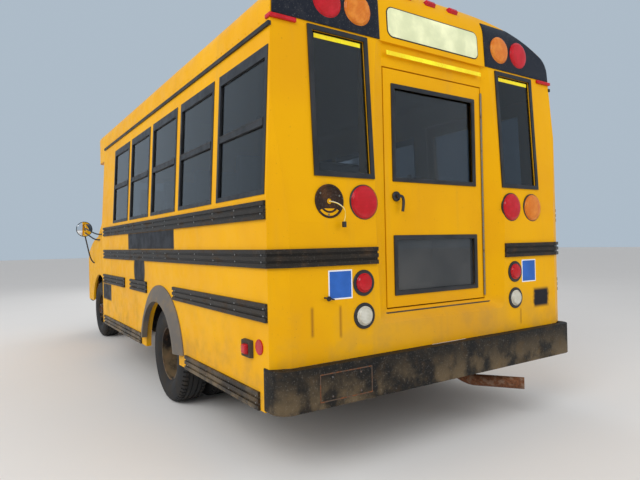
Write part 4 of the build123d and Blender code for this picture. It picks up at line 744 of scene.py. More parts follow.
class BUS_OT_paint_frame(bpy.types.Operator):
    """Make every finish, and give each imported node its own"""

    bl_idname = "bus.paint_frame"
    bl_label = "Paint the packed frame"

    def execute(self, context):
        FINISHES["body_paint"] = enamel("enamel")
        FINISHES["left_wall_paint"] = enamel("enamel_left_wall", left_wall_marks)
        FINISHES["rear_wall_paint"] = enamel("enamel_rear_wall", rear_wall_marks)
        FINISHES["tyre_rubber"] = rubber("tyre_rubber", tuple(context.scene.bus_wheels.rubber), 0.8, 0.08)
        FINISHES["mirror_glass"] = Finish("mirror_glass", (0.82, 0.84, 0.86), 0.03, metallic=1.0).material
        for name, (make, *settings) in FINISH_TABLE.items():
            FINISHES[name] = make(name, *settings)
        slots = {row["node"]: row["material_slot"] for row in frame["record"]["subparts"]}
        for name, node in frame["nodes"].items():
            node.data.materials.clear()
            node.data.materials.append(FINISHES[SPECIAL_PAINT.get(name, slots[name])])
        return {"FINISHED"}


# Tyre section: radius and offset from its middle, from the inner bead to the tread's middle
TYRE_SECTION = (
    (0.205, -0.086), (0.222, -0.099), (0.240, -0.107), (0.262, -0.1115), (0.290, -0.112), (0.292, -0.1105),
    (0.298, -0.1105), (0.300, -0.112), (0.318, -0.1095), (0.334, -0.103), (0.347, -0.0955), (0.360, -0.0835),
    (0.363, -0.080), (0.3642, -0.059), (0.3552, -0.0575), (0.3552, -0.050), (0.3644, -0.0485),
    (0.3648, -0.0265), (0.3556, -0.025), (0.3556, -0.0175), (0.3648, -0.016),
)
# Shoulder cuts: every third face round the tyre, between two distances from its middle, past a radius
SHOULDER = (0.058, 0.092)
SHOULDER_RADIUS = 0.352
FACES_A_BLOCK = 3
# Running gear: body, hub, node, side, middles of its tyres and outer face of its disc across the vehicle
WHEELS = (
    ("wheels_rear_left", REAR_HUB, "tyres_rear_left", 1, (1.0475, 0.7855), 0.9285),
    ("wheels_rear_right", REAR_HUB, "tyres_rear_right", -1, (1.0475, 0.7855), 0.9285),
    ("wheel_front_left", FRONT_HUB, "tyre_front_left", 1, (0.8725,), 0.9145),
    ("wheel_front_right", FRONT_HUB, "tyre_front_right", -1, (0.8725,), 0.9145),
)


class BUS_OT_tyres(bpy.types.Operator):
    """Ribbed tyres with cut shoulders"""

    bl_idname = "bus.tyres"
    bl_label = "Tyres"

    def execute(self, context):
        look = context.scene.bus_wheels
        sides = look.tread_blocks * FACES_A_BLOCK
        section = TYRE_SECTION + tuple((radius, -offset) for radius, offset in reversed(TYRE_SECTION))
        pattern = lathe("tyre_pattern", (0, 0, 0), "Y", section + (TYRE_SECTION[0],), sides)

        def shoulder_cut(place, normal):
            turn = math.atan2(place.z, place.x) / (2 * math.pi) * sides
            band = SHOULDER[0] < abs(place.y) < SHOULDER[1] and math.hypot(place.x, place.z) > SHOULDER_RADIUS
            return band and int(turn + sides) % FACES_A_BLOCK == 0

        pick_faces(pattern, shoulder_cut)
        bpy.ops.mesh.extrude_region_shrink_fatten(TRANSFORM_OT_shrink_fatten={"value": -look.tread_depth})
        object_mode()
        for body, hub, node, side, middles, _ in WHEELS:
            tyres = [copy_of(pattern, node, (hub.x, side * middle, hub.z)) for middle in middles]
            dress(joined(f"{node}_treaded", tyres), body, "tyre_rubber", angle=28, stands_for=node)
        bpy.data.objects.remove(pattern)
        return {"FINISHED"}


# Wheel nuts: radius of their ring, and how many
NUT_RING = 0.104
NUT_COUNT = 8
# Cap ring round the hub: radius and distance out from the disc
CAP_RING = ((0.064, 0.0), (0.064, 0.058), (0.060, 0.064), (0.052, 0.064), (0.052, 0.0), (0.064, 0.0))


class BUS_OT_wheel_nuts(bpy.types.Operator):
    """Nuts with studs on each wheel disc, and the hub's cap ring"""

    bl_idname = "bus.wheel_nuts"
    bl_label = "Wheel nuts"

    def execute(self, context):
        nut = rod("nut_pattern", (0, 0.009, 0), 0.0155, 0.018, "Y", 6, 0.0018)
        stud = rod("stud_pattern", (0, 0.021, 0), 0.0075, 0.014, "Y", 12, 0.0012, 1)
        nut = joined("nut_pattern", [nut, stud])
        for body, hub, _, side, _, face_y in WHEELS:
            nuts = []
            for i in range(NUT_COUNT):
                turn = 2 * math.pi * (i + 0.5) / NUT_COUNT
                place = (hub.x + NUT_RING * math.cos(turn), face_y, hub.z + NUT_RING * math.sin(turn))
                nuts.append(copy_of(nut, "nut", place))
            ring = lathe("cap_ring", (hub.x, face_y, hub.z), "Y", CAP_RING, 40)
            group = joined(f"nuts_{body}", nuts + [ring])
            if side < 0:
                group = moved_across(group)
            dress(group, body, "rim_paint", "nut_steel", 30)
        bpy.data.objects.remove(nut)
        return {"FINISHED"}


# Rub rails: heights of their two rows of rivets, start and end station, for both sides
RAIL_GROOVES = (
    (1.341, 1.377, 0.10, 3.84),
    (1.101, 1.137, 0.10, 3.84),
    (0.837, 0.873, 0.09, 1.46),
    (0.837, 0.873, 2.22, 2.69),
    (0.837, 0.873, 2.98, 3.87),
    (0.390, 0.426, 0.19, 1.21),
    (0.390, 0.426, 2.41, 3.85),
)
RIVET_STEP = 0.305
RIVET_HEIGHT = 0.004
RAIL_BASE_Y = WALL_Y + 0.004
# Small rivets: in an upright row at a station, and in a long row under the eaves
SMALL_RIVET = 0.008
SEAM_STATION = 3.2
SEAM_RIVETS = [0.50 + 0.105 * i for i in range(9)]
EAVES_Z = 2.318
EAVES_RIVETS = [0.09 + 0.081 * i for i in range(47)]
# Stations and heights of the lift door, which carries no rivets
LIFT_REACH = (0.19, 1.29)
LIFT_HEIGHTS = (0.6, 2.25)


def rivets(name, size, places):
    """Low domed rivets at places on the left wall, and on the right wall outside the lift door."""
    pattern = rod(f"{name}_pattern", (0, 0, 0), size / 2, RIVET_HEIGHT, "Y", 10, 0.0016, 2, 30)
    heads = [copy_of(pattern, "rivet", place) for place in places]
    for x, y, z in places:
        if not (LIFT_REACH[0] < x - REAR_X < LIFT_REACH[1] and LIFT_HEIGHTS[0] <= z < LIFT_HEIGHTS[1]):
            heads.append(copy_of(pattern, "rivet", (x, -y, z)))
    bpy.data.objects.remove(pattern)
    return joined(name, heads)


class BUS_OT_rivets(bpy.types.Operator):
    """Rivets in the grooves of the rub rails and along the panel edges"""

    bl_idname = "bus.rivets"
    bl_label = "Rivets"

    def execute(self, context):
        heads = []
        for low, high, start, end in RAIL_GROOVES:
            count = max(2, round((end - start) / RIVET_STEP) + 1)
            for i in range(count):
                x = at(start + (end - start) * i / (count - 1))
                heads += [(x, RAIL_BASE_Y, low), (x, RAIL_BASE_Y, high)]
        rows = rivets("rail_rivets", context.scene.bus_body.rivet_size, heads)
        dress(rows, "root", "handle_grey", "rivet_steel", 40)
        seams = [(at(SEAM_STATION), WALL_Y + 0.0005, z) for z in SEAM_RIVETS]
        seams += [(at(station), wall_y(EAVES_Z) + 0.0005, EAVES_Z) for station in EAVES_RIVETS]
        dress(rivets("seam_rivets", SMALL_RIVET, seams), "root", "body_paint", angle=40)
        return {"FINISHED"}


# Drip strip over the side windows: height of its middle, its own height, how far it stands proud, its ends
DRIP_Z = 2.277
DRIP_HEIGHT = 0.022
DRIP_PROUD = 0.014
DRIP_ENDS = (0.045, 3.945)


class BUS_OT_drip_strips(bpy.types.Operator):
    """Dark rolled strip above the windows on both sides"""

    bl_idname = "bus.drip_strips"
    bl_label = "Drip strips"

    def execute(self, context):
        face = wall_y(DRIP_Z)
        low = (at(DRIP_ENDS[0]), face - 0.004, DRIP_Z - DRIP_HEIGHT / 2)
        strip = slab("drip_strip_left", low, (at(DRIP_ENDS[1]), face + DRIP_PROUD, DRIP_Z + DRIP_HEIGHT / 2))
        pressed(strip, facing(y=1), DRIP_HEIGHT * 0.28, (0, -0.006, 0))
        bevel(strip, 0.0022)
        for piece in (strip, across(strip, "drip_strip_right")):
            dress(piece, "root", "trim_black")
        return {"FINISHED"}


# Split windows: station of the first, pitch, width and count
WINDOW_START = 0.06
WINDOW_PITCH = 0.686
WINDOW_WIDTH = 0.609
WINDOW_COUNT = 5
# Their middle rails: height, half height, distance from the ends, place and half width of the latches
SASH_Z = 1.798
SASH_HALF_HEIGHT = 0.019
FRAME_BAR = 0.028
LATCH_INSET = 0.11
LATCH_HALF_WIDTH = 0.028


class BUS_OT_sash_latches(bpy.types.Operator):
    """Middle rail lips and two squeeze latches on each split window"""

    bl_idname = "bus.sash_latches"
    bl_label = "Sash latches"

    def execute(self, context):
        face = wall_y(SASH_Z) + 0.003
        for side, name, first in ((1, "left", 0), (-1, "right", 2)):
            parts = []
            for i in range(first, WINDOW_COUNT):
                start = WINDOW_START + i * WINDOW_PITCH
                rail = slab(
                    "sash", (at(start + FRAME_BAR), face - 0.016, SASH_Z - SASH_HALF_HEIGHT),
                    (at(start + WINDOW_WIDTH - FRAME_BAR), face + 0.006, SASH_Z + SASH_HALF_HEIGHT),
                )
                pressed(rail, facing(y=1), 0.011, (0, -0.008, 0))
                bevel(rail, 0.002)
                parts.append(rail)
                for middle in (start + LATCH_INSET, start + WINDOW_WIDTH - LATCH_INSET):
                    parts.append(block(
                        "latch", (at(middle - LATCH_HALF_WIDTH), face - 0.030, SASH_Z + 0.018),
                        (at(middle + LATCH_HALF_WIDTH), face - 0.014, SASH_Z + 0.040), 0.004, 3,
                    ))
            rails = joined(f"sash_rails_{name}", parts)
            if side < 0:
                rails = moved_across(rails)
            dress(rails, "root", "trim_black")
        return {"FINISHED"}


# Yellow tape on the rear: height, half height, thickness, inner and outer y inside the rear windows
TAPE_Z = 2.272
TAPE_HALF_HEIGHT = 0.012
TAPE_THICKNESS = 0.0025
TAPE_REACH = (0.590, 0.895)
# Tape on the header: how far it reaches to each side, half height
HEADER_TAPE = (0.405, 0.013)


class BUS_OT_reflective_strips(bpy.types.Operator):
    """Bright yellow tape inside the rear side windows and across the door's header"""

    bl_idname = "bus.reflective_strips"
    bl_label = "Reflective strips"

    def execute(self, context):
        strips = []
        x = rear_x(TAPE_Z) + 0.004
        for y_low, y_high in (TAPE_REACH, (-TAPE_REACH[1], -TAPE_REACH[0])):
            low = (x, y_low, TAPE_Z - TAPE_HALF_HEIGHT)
            strips.append(block(
                "window_tape", low, (x + TAPE_THICKNESS, y_high, TAPE_Z + TAPE_HALF_HEIGHT), 0.0008, 1
            ))
        reach, half = HEADER_TAPE
        x = rear_x(TAPE_Z - half) - 0.0015
        header = slab("header_tape", (x, -reach, TAPE_Z - half), (x + TAPE_THICKNESS, reach, TAPE_Z + half))
        shifted(header, facing(z=1), (rear_x(TAPE_Z + half) - rear_x(TAPE_Z - half), 0, 0))
        dress(joined("window_tape", strips + [header]), "root", "lens_amber", "strip_yellow")
        return {"FINISHED"}


# Rear door: heights of its panes, half width of both, overlap of their rubbers
PANES = ((1.552, 2.094), (0.891, 1.213))
PANE_HALF_WIDTH = 0.344
RUBBER_LAP = 0.014
# Piano hinge: place of its first knuckle, and their pitch, count, radius and length
HINGE = Vector((at(0.069), -0.4195, 0.852))
KNUCKLES = (0.040, 33, 0.0062, 0.037)
# Radius and length of the hinge's pin
HINGE_PIN = (0.0035, 1.33)
# Lever of the rear door: y and z of its boss, and its arm's distances from the face, y and z from there
LEVER = (0.335, 1.452)
LEVER_ARM = (
    (-0.027, 0.006, 0.002), (-0.030, -0.016, 0.002), (-0.031, -0.030, -0.010), (-0.031, -0.032, -0.045),
    (-0.030, -0.024, -0.088),
)


def beside(x, y, z, steps):
    """Points at steps from a place."""
    return [(x + dx, y + dy, z + dz) for dx, dy, dz in steps]


class BUS_OT_rear_door_trim(bpy.types.Operator):
    """Pane rubbers, piano hinge and lever of the rear emergency door"""

    bl_idname = "bus.rear_door_trim"
    bl_label = "Rear door trim"

    def execute(self, context):
        face = DOOR_FACE_X
        rings = [
            window_ring(
                "pane_rubber", (face - 0.001, 0, (low + high) / 2), PANE_HALF_WIDTH + RUBBER_LAP,
                (high - low) / 2 + RUBBER_LAP, 0.026, 0.014,
            )
            for low, high in PANES
        ]
        dress(joined("door_pane_rubbers", rings), "rear_door", "trim_black")
        pitch, count, radius, length = KNUCKLES
        knuckle = rod("hinge_pattern", HINGE, radius, length, "Z", 14, 0.001, 1)
        row(knuckle, (0, 0, pitch), count)
        middle = HINGE + Vector((0, 0, pitch * (count - 1) / 2))
        pin = rod("hinge_pin", middle, *HINGE_PIN, "Z", 10, 0.001, 1)
        dress(joined("piano_hinge", [knuckle, pin]), "root", "handle_grey", "hinge_steel")
        y, z = LEVER
        plate = rod("lever_plate", (face - 0.005, y, z), 0.029, 0.010, "X", 32)
        pressed(plate, facing(x=-1), 0.006, (-0.004, 0, 0))
        bevel(plate, 0.0016)
        boss = rod("lever_boss", (face - 0.018, y, z), 0.0135, 0.026, "X", 24, 0.002)
        arm = tube("lever_arm", beside(face, y, z, LEVER_ARM), 0.0085)
        lever = joined("door_lever", [plate, boss, arm])
        dress(lever, "rear_door", "handle_grey", stands_for="rear_door_handle")
        return {"FINISHED"}


# Toggle latch on the rear wall: y and z, and the points of its arm and fork from there
TOGGLE = (0.872, 0.905)
TOGGLE_ARM = ((-0.004, 0, 0), (-0.014, 0, 0), (-0.016, 0.012, 0.004), (-0.014, 0.036, 0.008))
TOGGLE_FORK = ((-0.004, 0, 0), (-0.013, -0.004, 0), (-0.014, -0.026, -0.006))


class BUS_OT_toggle(bpy.types.Operator):
    """Small black toggle latch low on the left of the rear wall"""

    bl_idname = "bus.toggle"
    bl_label = "Toggle latch"

    def execute(self, context):
        parts = [
            rod("toggle_base", (REAR_X - 0.003, *TOGGLE), 0.013, 0.006, "X", 24, 0.0015),
            tube("toggle_arm", beside(REAR_X, *TOGGLE, TOGGLE_ARM), 0.0045),
            tube("toggle_fork", beside(REAR_X, *TOGGLE, TOGGLE_FORK), 0.004),
        ]
        dress(joined("toggle_latch", parts), "root", "handle_grey", "trim_black")
        return {"FINISHED"}


# Route of the lamp's wires: distance out from the rear face, y, z, in metres
WIRE_ROUTE = (
    (0.001, 0.853, 1.405),
    (0.029, 0.847, 1.402),
    (0.041, 0.815, 1.388),
    (0.042, 0.785, 1.364),
    (0.038, 0.776, 1.328),
    (0.033, 0.784, 1.298),
)
# Wires: name, offset outwards past the first point, in y and in z, length, and slot
WIRES = (
    ("wire_white", 0.0, 0.0, 0.0, 0.1624, "lens_clear"),
    ("wire_yellow", 0.005, 0.003, -0.003, 0.1663, "lens_amber"),
)
WIRE_DIAMETER = 0.004
# Empty socket: y and z, how deep its side goes into the wall, and its section from the rim to the middle
SOCKET = (0.853, 1.405)
SOCKET_SIDE = 0.012
SOCKET_SECTION = (
    (0.088, SOCKET_SIDE), (0.088, -0.006), (0.086, -0.008), (0.080, -0.008), (0.076, -0.005),
    (0.075, -0.0025), (0.062, -0.0022), (0.060, -0.0045), (0.052, -0.0045), (0.050, -0.002), (0.019, -0.002),
    (0.0165, -0.004), (0.015, -0.0035), (0.015, 0.004), (0.015, SOCKET_SIDE),
)
# Studs of the socket: radius of their ring, and their turns in degrees
STUD_RING = 0.069
STUD_TURNS = (35, 155, 275)


class BUS_OT_lamp_socket(bpy.types.Operator):
    """Empty lamp socket, with two wires that hang out to their connector"""

    bl_idname = "bus.lamp_socket"
    bl_label = "Lamp socket"

    def execute(self, context):
        wall = rear_x(SOCKET[1])
        reach, y, z = WIRE_ROUTE[-1]
        low = (wall - reach - 0.0105, y - 0.0075, z - 0.029)
        plug = slab("lamp_connector", low, (wall - reach + 0.0055, y + 0.0105, z + 0.001))
        pressed(plug, facing(z=-1), 0.0018, (0, 0, 0.004))
        bevel(plug, 0.0009)
        dress(plug, "root", "trim_black", "connector_black")
        for name, out, over, up, length, slot in WIRES:
            points = [
                (wall - reach - min(i, 1) * out, y + over, z + up)
                for i, (reach, y, z) in enumerate(WIRE_ROUTE)
            ]
            cord = smooth_line(name, points, WIRE_DIAMETER / 2)
            cord.data.materials.append(FINISHES[name])
            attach(cord, "root")
        cup = lathe("lamp_socket", (wall, *SOCKET), "X", SOCKET_SECTION, 56)
        dress(cup, "root", "trim_black", "socket_brown", 30)
        studs = []
        for turn in map(math.radians, STUD_TURNS):
            y, z = SOCKET[0] + STUD_RING * math.cos(turn), SOCKET[1] + STUD_RING * math.sin(turn)
            studs.append(rod("stud", (wall - 0.0035, y, z), 0.0055, 0.005, "X", 16, 0.0012))
        dress(joined("socket_studs", studs), "root", "handle_grey", "hinge_steel")
        return {"FINISHED"}


# Round lamps on the rear wall: sides, y, z, radius, finish, radius of the black rim or 0 on the lamp panels
ROUND_LAMPS = (
    ((1, -1), 0.807, 2.469, 0.090, "lens_red", 0.0),
    ((1, -1), 0.604, 2.469, 0.090, "lens_amber", 0.0),
    ((1, -1), 0.628, 1.405, 0.089, "lens_red", 0.095),
    ((-1,), 0.853, 1.405, 0.089, "lens_amber", 0.095),
    ((1, -1), 0.644, 0.973, 0.052, "lens_red", 0.070),
    ((1, -1), 0.644, 0.797, 0.052, "lens_clear", 0.070),
)
LENS_NODES = {"lens_red": "red_lenses", "lens_amber": "amber_lenses", "lens_clear": "clear_lenses"}
# Left headlamp: centre of its lens, and half its depth, width and height
HEADLAMP = Vector((REAR_X + 6.092, 0.720, 0.820))
HEADLAMP_HALF = Vector((0.010, 0.110, 0.100))
# Its bezel: lap over the lens, bar and depth
BEZEL = (0.011, 0.014, 0.020)
# Clearance lamps on the rear cap: y of each, height, half width and half height
CLEARANCE_LAMPS = (-0.2, 0.0, 0.2)
CLEARANCE_Z = 2.655
CLEARANCE_HALF = (0.044, 0.018)
# Corner marker: height, half height, y where it ends on the rear and station where it ends on the side
CORNER_Z = 2.319
CORNER_HALF_HEIGHT = 0.011
CORNER_ENDS = (1.006, 0.080)
# How deep it is sunk in the walls, and how far it stands out from the rear and from the side
CORNER_SUNK = 0.012
CORNER_PROUD = (0.016, 0.010)
# Side reflector: station and height, and its section
REFLECTOR = (0.142, 0.677)
REFLECTOR_SECTION = (
    (0.039, -0.004), (0.039, 0.005), (0.036, 0.007), (0.034, 0.0068), (0.033, 0.0056), (0.006, 0.0062),
)
# Side marker: station and height, and those of the one that the lift door carries on the right
SIDE_MARKER = (0.265, 0.654)
LIFT_MARKER = (0.310, 0.735)
# Its housing: half length, half height, how far it stands proud, and its screws' distance from the middle
MARKER_HALF = (0.052, 0.046)
MARKER_PROUD = 0.024
MARKER_SCREW = 0.043
# Corners of its lens from its middle on the wall
MARKER_LENS = ((-0.026, 0.012, -0.030), (0.030, 0.036, 0.026))
# Section of a round lens: steps in from its radius, then shares of it, each with its distance from the wall
LENS_EDGE = (
    (0.0, 0.012), (0.0, -0.0085), (0.0022, -0.0105), (0.005, -0.0108), (0.0062, -0.014), (0.010, -0.017),
)
LENS_DOME = ((0.78, -0.0196), (0.55, -0.0212), (0.30, -0.022), (0.08, -0.0222))


def round_lens(y, z, radius):
    """Domed lens with a stepped edge, sunk a little in the wall."""
    section = [(radius - step, out) for step, out in LENS_EDGE]
    section += [(radius * share, out) for share, out in LENS_DOME]
    return lathe("lens", (rear_x(z), y, z), "X", section, closed=True)


def lamp_rim(y, z, radius, outer):
    """Black rubber rim round a lens."""
    return lathe(
        "lamp_rim", (rear_x(z), y, z), "X",
        ((outer, 0.010), (outer, -0.004), (outer - 0.002, -0.0062), (outer - 0.006, -0.0068),
         (radius + 0.001, -0.0060), (radius - 0.004, -0.0050), (radius - 0.004, 0.010), (outer, 0.010)),
    )


def clearance_lens(y):
    """Small oblong lens on the curve of the rear cap."""
    centre = Vector((cap_x(CLEARANCE_Z), y, CLEARANCE_Z))
    low, high = Vector((0.022, *CLEARANCE_HALF)), Vector((0.010, *CLEARANCE_HALF))
    piece = slab("clearance_lens", centre - low, centre + high)
    pick_faces(piece, facing(x=-1))
    bpy.ops.transform.resize(value=(1, 0.84, 0.66), center_override=centre - Vector((low.x, 0, 0)))
    select_whole()
    bpy.ops.transform.rotate(value=-cap_turn(CLEARANCE_Z), orient_axis="Y", center_override=centre)
    object_mode()
    bevel(piece, 0.004, 3, 25)
    return piece


def corner_lens():
    """Red corner marker that wraps from the rear wall to the side."""
    corner = Vector((rear_x(CORNER_Z), wall_y(CORNER_Z), CORNER_Z))
    rear_proud, side_proud = CORNER_PROUD
    low = corner - Vector((rear_proud, CORNER_SUNK, CORNER_HALF_HEIGHT))
    piece = slab("corner_lens", low, corner + Vector((CORNER_SUNK, side_proud, CORNER_HALF_HEIGHT)))
    inner_y, end = CORNER_ENDS

    def side_end(place, normal):
        return normal.x > 0.9 and place.y > corner.y - 0.005

    drawn_out(piece, facing(y=-1), (0, inner_y - corner.y + CORNER_SUNK, 0))
    drawn_out(piece, side_end, (at(end) - corner.x, 0, 0))
    bevel(piece, 0.0045, 3)
    return piece


def side_marker(name, station, z):
    """Dark moulded housing with its lens, on the left wall at a station."""
    x, y = at(station), WALL_Y
    half_x, half_z = MARKER_HALF
    low = (x - half_x, y - 0.004, z - half_z)
    housing = slab(f"{name}_housing", low, (x + half_x, y + MARKER_PROUD, z + half_z))
    pick_faces(housing, facing(y=1))
    bpy.ops.transform.resize(value=(0.93, 1, 0.92), center_override=(x, y, z))
    bpy.ops.mesh.inset(thickness=0.012)
    bpy.ops.transform.translate(value=(0, -0.006, 0))
    object_mode()
    bevel(housing, 0.004, 3, 30)
    for side in (-1, 1):
        screw = rod("screw", (x + side * MARKER_SCREW, y + MARKER_PROUD + 0.0005, z), 0.0035, 0.003, "Y", 12)
        housing = joined(f"{name}_housing", [housing, screw])
    low, high = (Vector((x, y, z)) + Vector(corner) for corner in MARKER_LENS)
    glass = slab(f"{name}_lens", low, high)
    pick_faces(glass, facing(y=1))
    bpy.ops.transform.resize(value=(0.86, 1, 0.80), center_override=(x + 0.002, y, z - 0.002))
    object_mode()
    bevel(glass, 0.005, 3, 30)
    return housing, glass


class BUS_OT_lamps(bpy.types.Operator):
    """Round lamps with rims, headlamps, clearance lamps, and corner and side markers"""

    bl_idname = "bus.lamps"
    bl_label = "Lamps"

    def execute(self, context):
        groups = {finish: [] for finish in LENS_NODES}
        rims = []
        for sides, y, z, radius, finish, rim in ROUND_LAMPS:
            for side in sides:
                groups[finish].append(round_lens(side * y, z, radius))
                if rim:
                    rims.append(lamp_rim(side * y, z, radius, rim))
        bezels = []
        lap, bar, depth = BEZEL
        for side in (1, -1):
            centre = Vector((HEADLAMP.x, side * HEADLAMP.y, HEADLAMP.z))
            glass = slab("headlamp", centre - HEADLAMP_HALF, centre + HEADLAMP_HALF)
            bevel(glass, 0.007, 3, 30)
            groups["lens_clear"].append(glass)
            bezels.append(window_ring(
                "headlamp_bezel", centre - Vector((0.004, 0, 0)), HEADLAMP_HALF.y + lap,
                HEADLAMP_HALF.z + lap, bar, depth,
            ))
        dress(joined("headlamp_bezels", bezels), "root", "handle_grey", "rivet_steel")
        groups["lens_red"] += [clearance_lens(y) for y in CLEARANCE_LAMPS]
        reds = [corner_lens()]
        reds.append(across(reds[0], "corner_lens_right"))
        reds.append(lathe(
            "reflector", (at(REFLECTOR[0]), WALL_Y, REFLECTOR[1]), "Y", REFLECTOR_SECTION, 40, closed=True
        ))
        reds.append(across(reds[2], "reflector_right"))
        housing, glass = side_marker("side_marker", *SIDE_MARKER)
        groups["lens_red"] += reds + [glass]
        dress(housing, "root", "trim_black", "bulb_housing")
        housing, glass = side_marker("lift_marker", *LIFT_MARKER)
        dress(moved_across(housing), "lift_door", "trim_black", "bulb_housing")
        dress(moved_across(glass), "lift_door", "lens_red")
        for finish, lenses in groups.items():
            node = LENS_NODES[finish]
            dress(joined(f"{node}_moulded", lenses), "root", finish, angle=32, stands_for=node)
        dress(joined("lamp_rims", rims), "root", "panel_black", "trim_black", 32)
        return {"FINISHED"}


# Black lamp panels: inner y, heights, thickness, distance kept from the roof's outer face
PANEL_INNER_Y = 0.452
PANEL_Z = (2.336, 2.633)
PANEL_PROUD = 0.005
PANEL_MARGIN = 0.007
# Arcs of the roof's section: centre y and z, radius, slopes in degrees at which the panel is trimmed
ROOF_ARCS = (
    (1.008, 2.385, 0.140, (12, 25, 38, 51, 63)),
    (0.0, 0.130, 2.610, (66.5, 68.5, 70.5, 72.5, 74.5)),
)


class BUS_OT_lamp_panels(bpy.types.Operator):
    """Black panels behind the warning lamps, out to the body's corners"""

    bl_idname = "bus.lamp_panels"
    bl_label = "Lamp panels"

    def execute(self, context):
        middle = (at(-0.2), (PANEL_INNER_Y + WALL_Y) / 2, sum(PANEL_Z) / 2)
        trims = [((0, WALL_Y - PANEL_MARGIN, SILL_Z), (0, 1, TUMBLEHOME / (SPRING_Z - SILL_Z)))]
        for centre_y, centre_z, radius, slopes in ROOF_ARCS:
            for slope in map(math.radians, slopes):
                ahead = Vector((0, math.cos(slope), math.sin(slope)))
                trims.append((Vector((0, centre_y, centre_z)) + ahead * (radius - PANEL_MARGIN), ahead))
        deselect()
        bpy.ops.mesh.primitive_grid_add(
            x_subdivisions=26, y_subdivisions=24, size=1, location=middle, rotation=(0, -math.pi / 2, 0)
        )
        panel = new_piece("lamp_panel_left")
        edit_mode()
        select_whole()
        bpy.ops.transform.resize(
            value=(1, WALL_Y - PANEL_INNER_Y, PANEL_Z[1] - PANEL_Z[0]), center_override=middle
        )
        for edge, ahead in trims:
            select_whole()
            bpy.ops.mesh.bisect(plane_co=edge, plane_no=ahead, clear_outer=True)
        object_mode()
        modifier(
            panel, "SHRINKWRAP", target=frame["nodes"]["rear_wall"], wrap_method="PROJECT",
            use_project_x=True, use_project_y=False, use_project_z=False, use_positive_direction=True,
            use_negative_direction=False, offset=0.0005,
        )
        modifier(panel, "SOLIDIFY", thickness=PANEL_PROUD, offset=1.0)
        bevel(panel, 0.0012, 2, 60)
        panels = joined("lamp_panels_full", [panel, across(panel, "lamp_panel_right")])
        dress(panels, "root", "panel_black", angle=40, stands_for="lamp_panels")
        return {"FINISHED"}


# Sign board on the header: half width, heights, corner radius, thickness
SIGN_HALF_WIDTH = 0.388
SIGN_Z = (2.368, 2.546)
SIGN_CORNER = 0.042
SIGN_THICKNESS = 0.004


def board(name, grow, proud):
    """Rounded board that lies on the leaning header."""
    middle_z = sum(SIGN_Z) / 2
    face = rear_x(middle_z)
    reach = SIGN_HALF_WIDTH + grow
    plate = slab(name, (face - proud, -reach, SIGN_Z[0] - grow), (face + 0.012, reach, SIGN_Z[1] + grow))
    pick_edges(plate, lambda start, end: abs(start.x - end.x) > 0.001)
    bpy.ops.mesh.bevel(offset=SIGN_CORNER + grow, segments=8, affect="EDGES")
    select_whole()
    bpy.ops.transform.rotate(
        value=-math.atan(LEAN / (LEAN_Z - BEND_Z)), orient_axis="Y", center_override=(face, 0, middle_z)
    )
    object_mode()
    bevel(plate, 0.0008, 2, 60)
    return plate


class BUS_OT_sign(bpy.types.Operator):
    """Blank sign board with its black border"""

    bl_idname = "bus.sign"
    bl_label = "Sign board"

    def execute(self, context):
        face = board("sign_board", -0.004, SIGN_THICKNESS)
        border = board("sign_border", 0.002, SIGN_THICKNESS - 0.0014)
        dress(face, "root", "lens_clear", "sign_face", 40)
        dress(border, "root", "trim_black", angle=40)
        return {"FINISHED"}


# Blank square labels under the rear windows: y from and to, z from and to
LABELS = ((0.720, 0.872, 0.897, 1.049), (-0.872, -0.720, 0.897, 1.049))
# Their layers: name, margin, how far in front of the wall, edge, slot and finish
LABEL_LAYERS = (
    ("label_borders", 0.0, 0.0012, 0.0004, "lens_clear", "label_white"),
    ("label_fields", 0.007, 0.0018, 0.0003, "trim_black", "label_blue"),
)


class BUS_OT_labels(bpy.types.Operator):
    """Blank blue labels with a white border"""

    bl_idname = "bus.labels"
    bl_label = "Labels"

    def execute(self, context):
        for name, margin, proud, edge, slot, finish in LABEL_LAYERS:
            layers = [
                block(name, (REAR_X - proud, y_low + margin, z_low + margin),
                      (REAR_X + 0.001, y_high - margin, z_high - margin), edge, 1)
                for y_low, y_high, z_low, z_high in LABELS
            ]
            dress(joined(name, layers), "root", slot, finish)
        return {"FINISHED"}


# Benches: front edge station and side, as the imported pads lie
BENCH_FRONTS = ((1.120, 1), (1.835, 1), (2.550, 1), (3.265, 1), (2.550, -1), (3.265, -1))
BENCH_INNER_Y = 0.170
BENCH_OUTER_Y = 1.096
BENCH_DEPTH = 0.400
SEAT_Z = 1.220
PAD_THICKNESS = 0.120
BACK_TOP_Z = 1.740
BACK_THICKNESS = 0.095
# Room that a pad keeps at its sides for the swelling
PAD_ROOM = 0.012
# Driver's seat: inner and outer y, and for each pad its stations, heights and lean
DRIVER_Y = (0.244, 0.746)
DRIVER_PADS = (
    ("driver_cushion", (4.235, 4.708), (1.090, 1.178), 0.0),
    ("driver_back", (4.150, 4.235), (1.150, 1.738), 0.085),
)
CUSHION_PRESSURE = 4.0
CLOTH_STEPS = 20


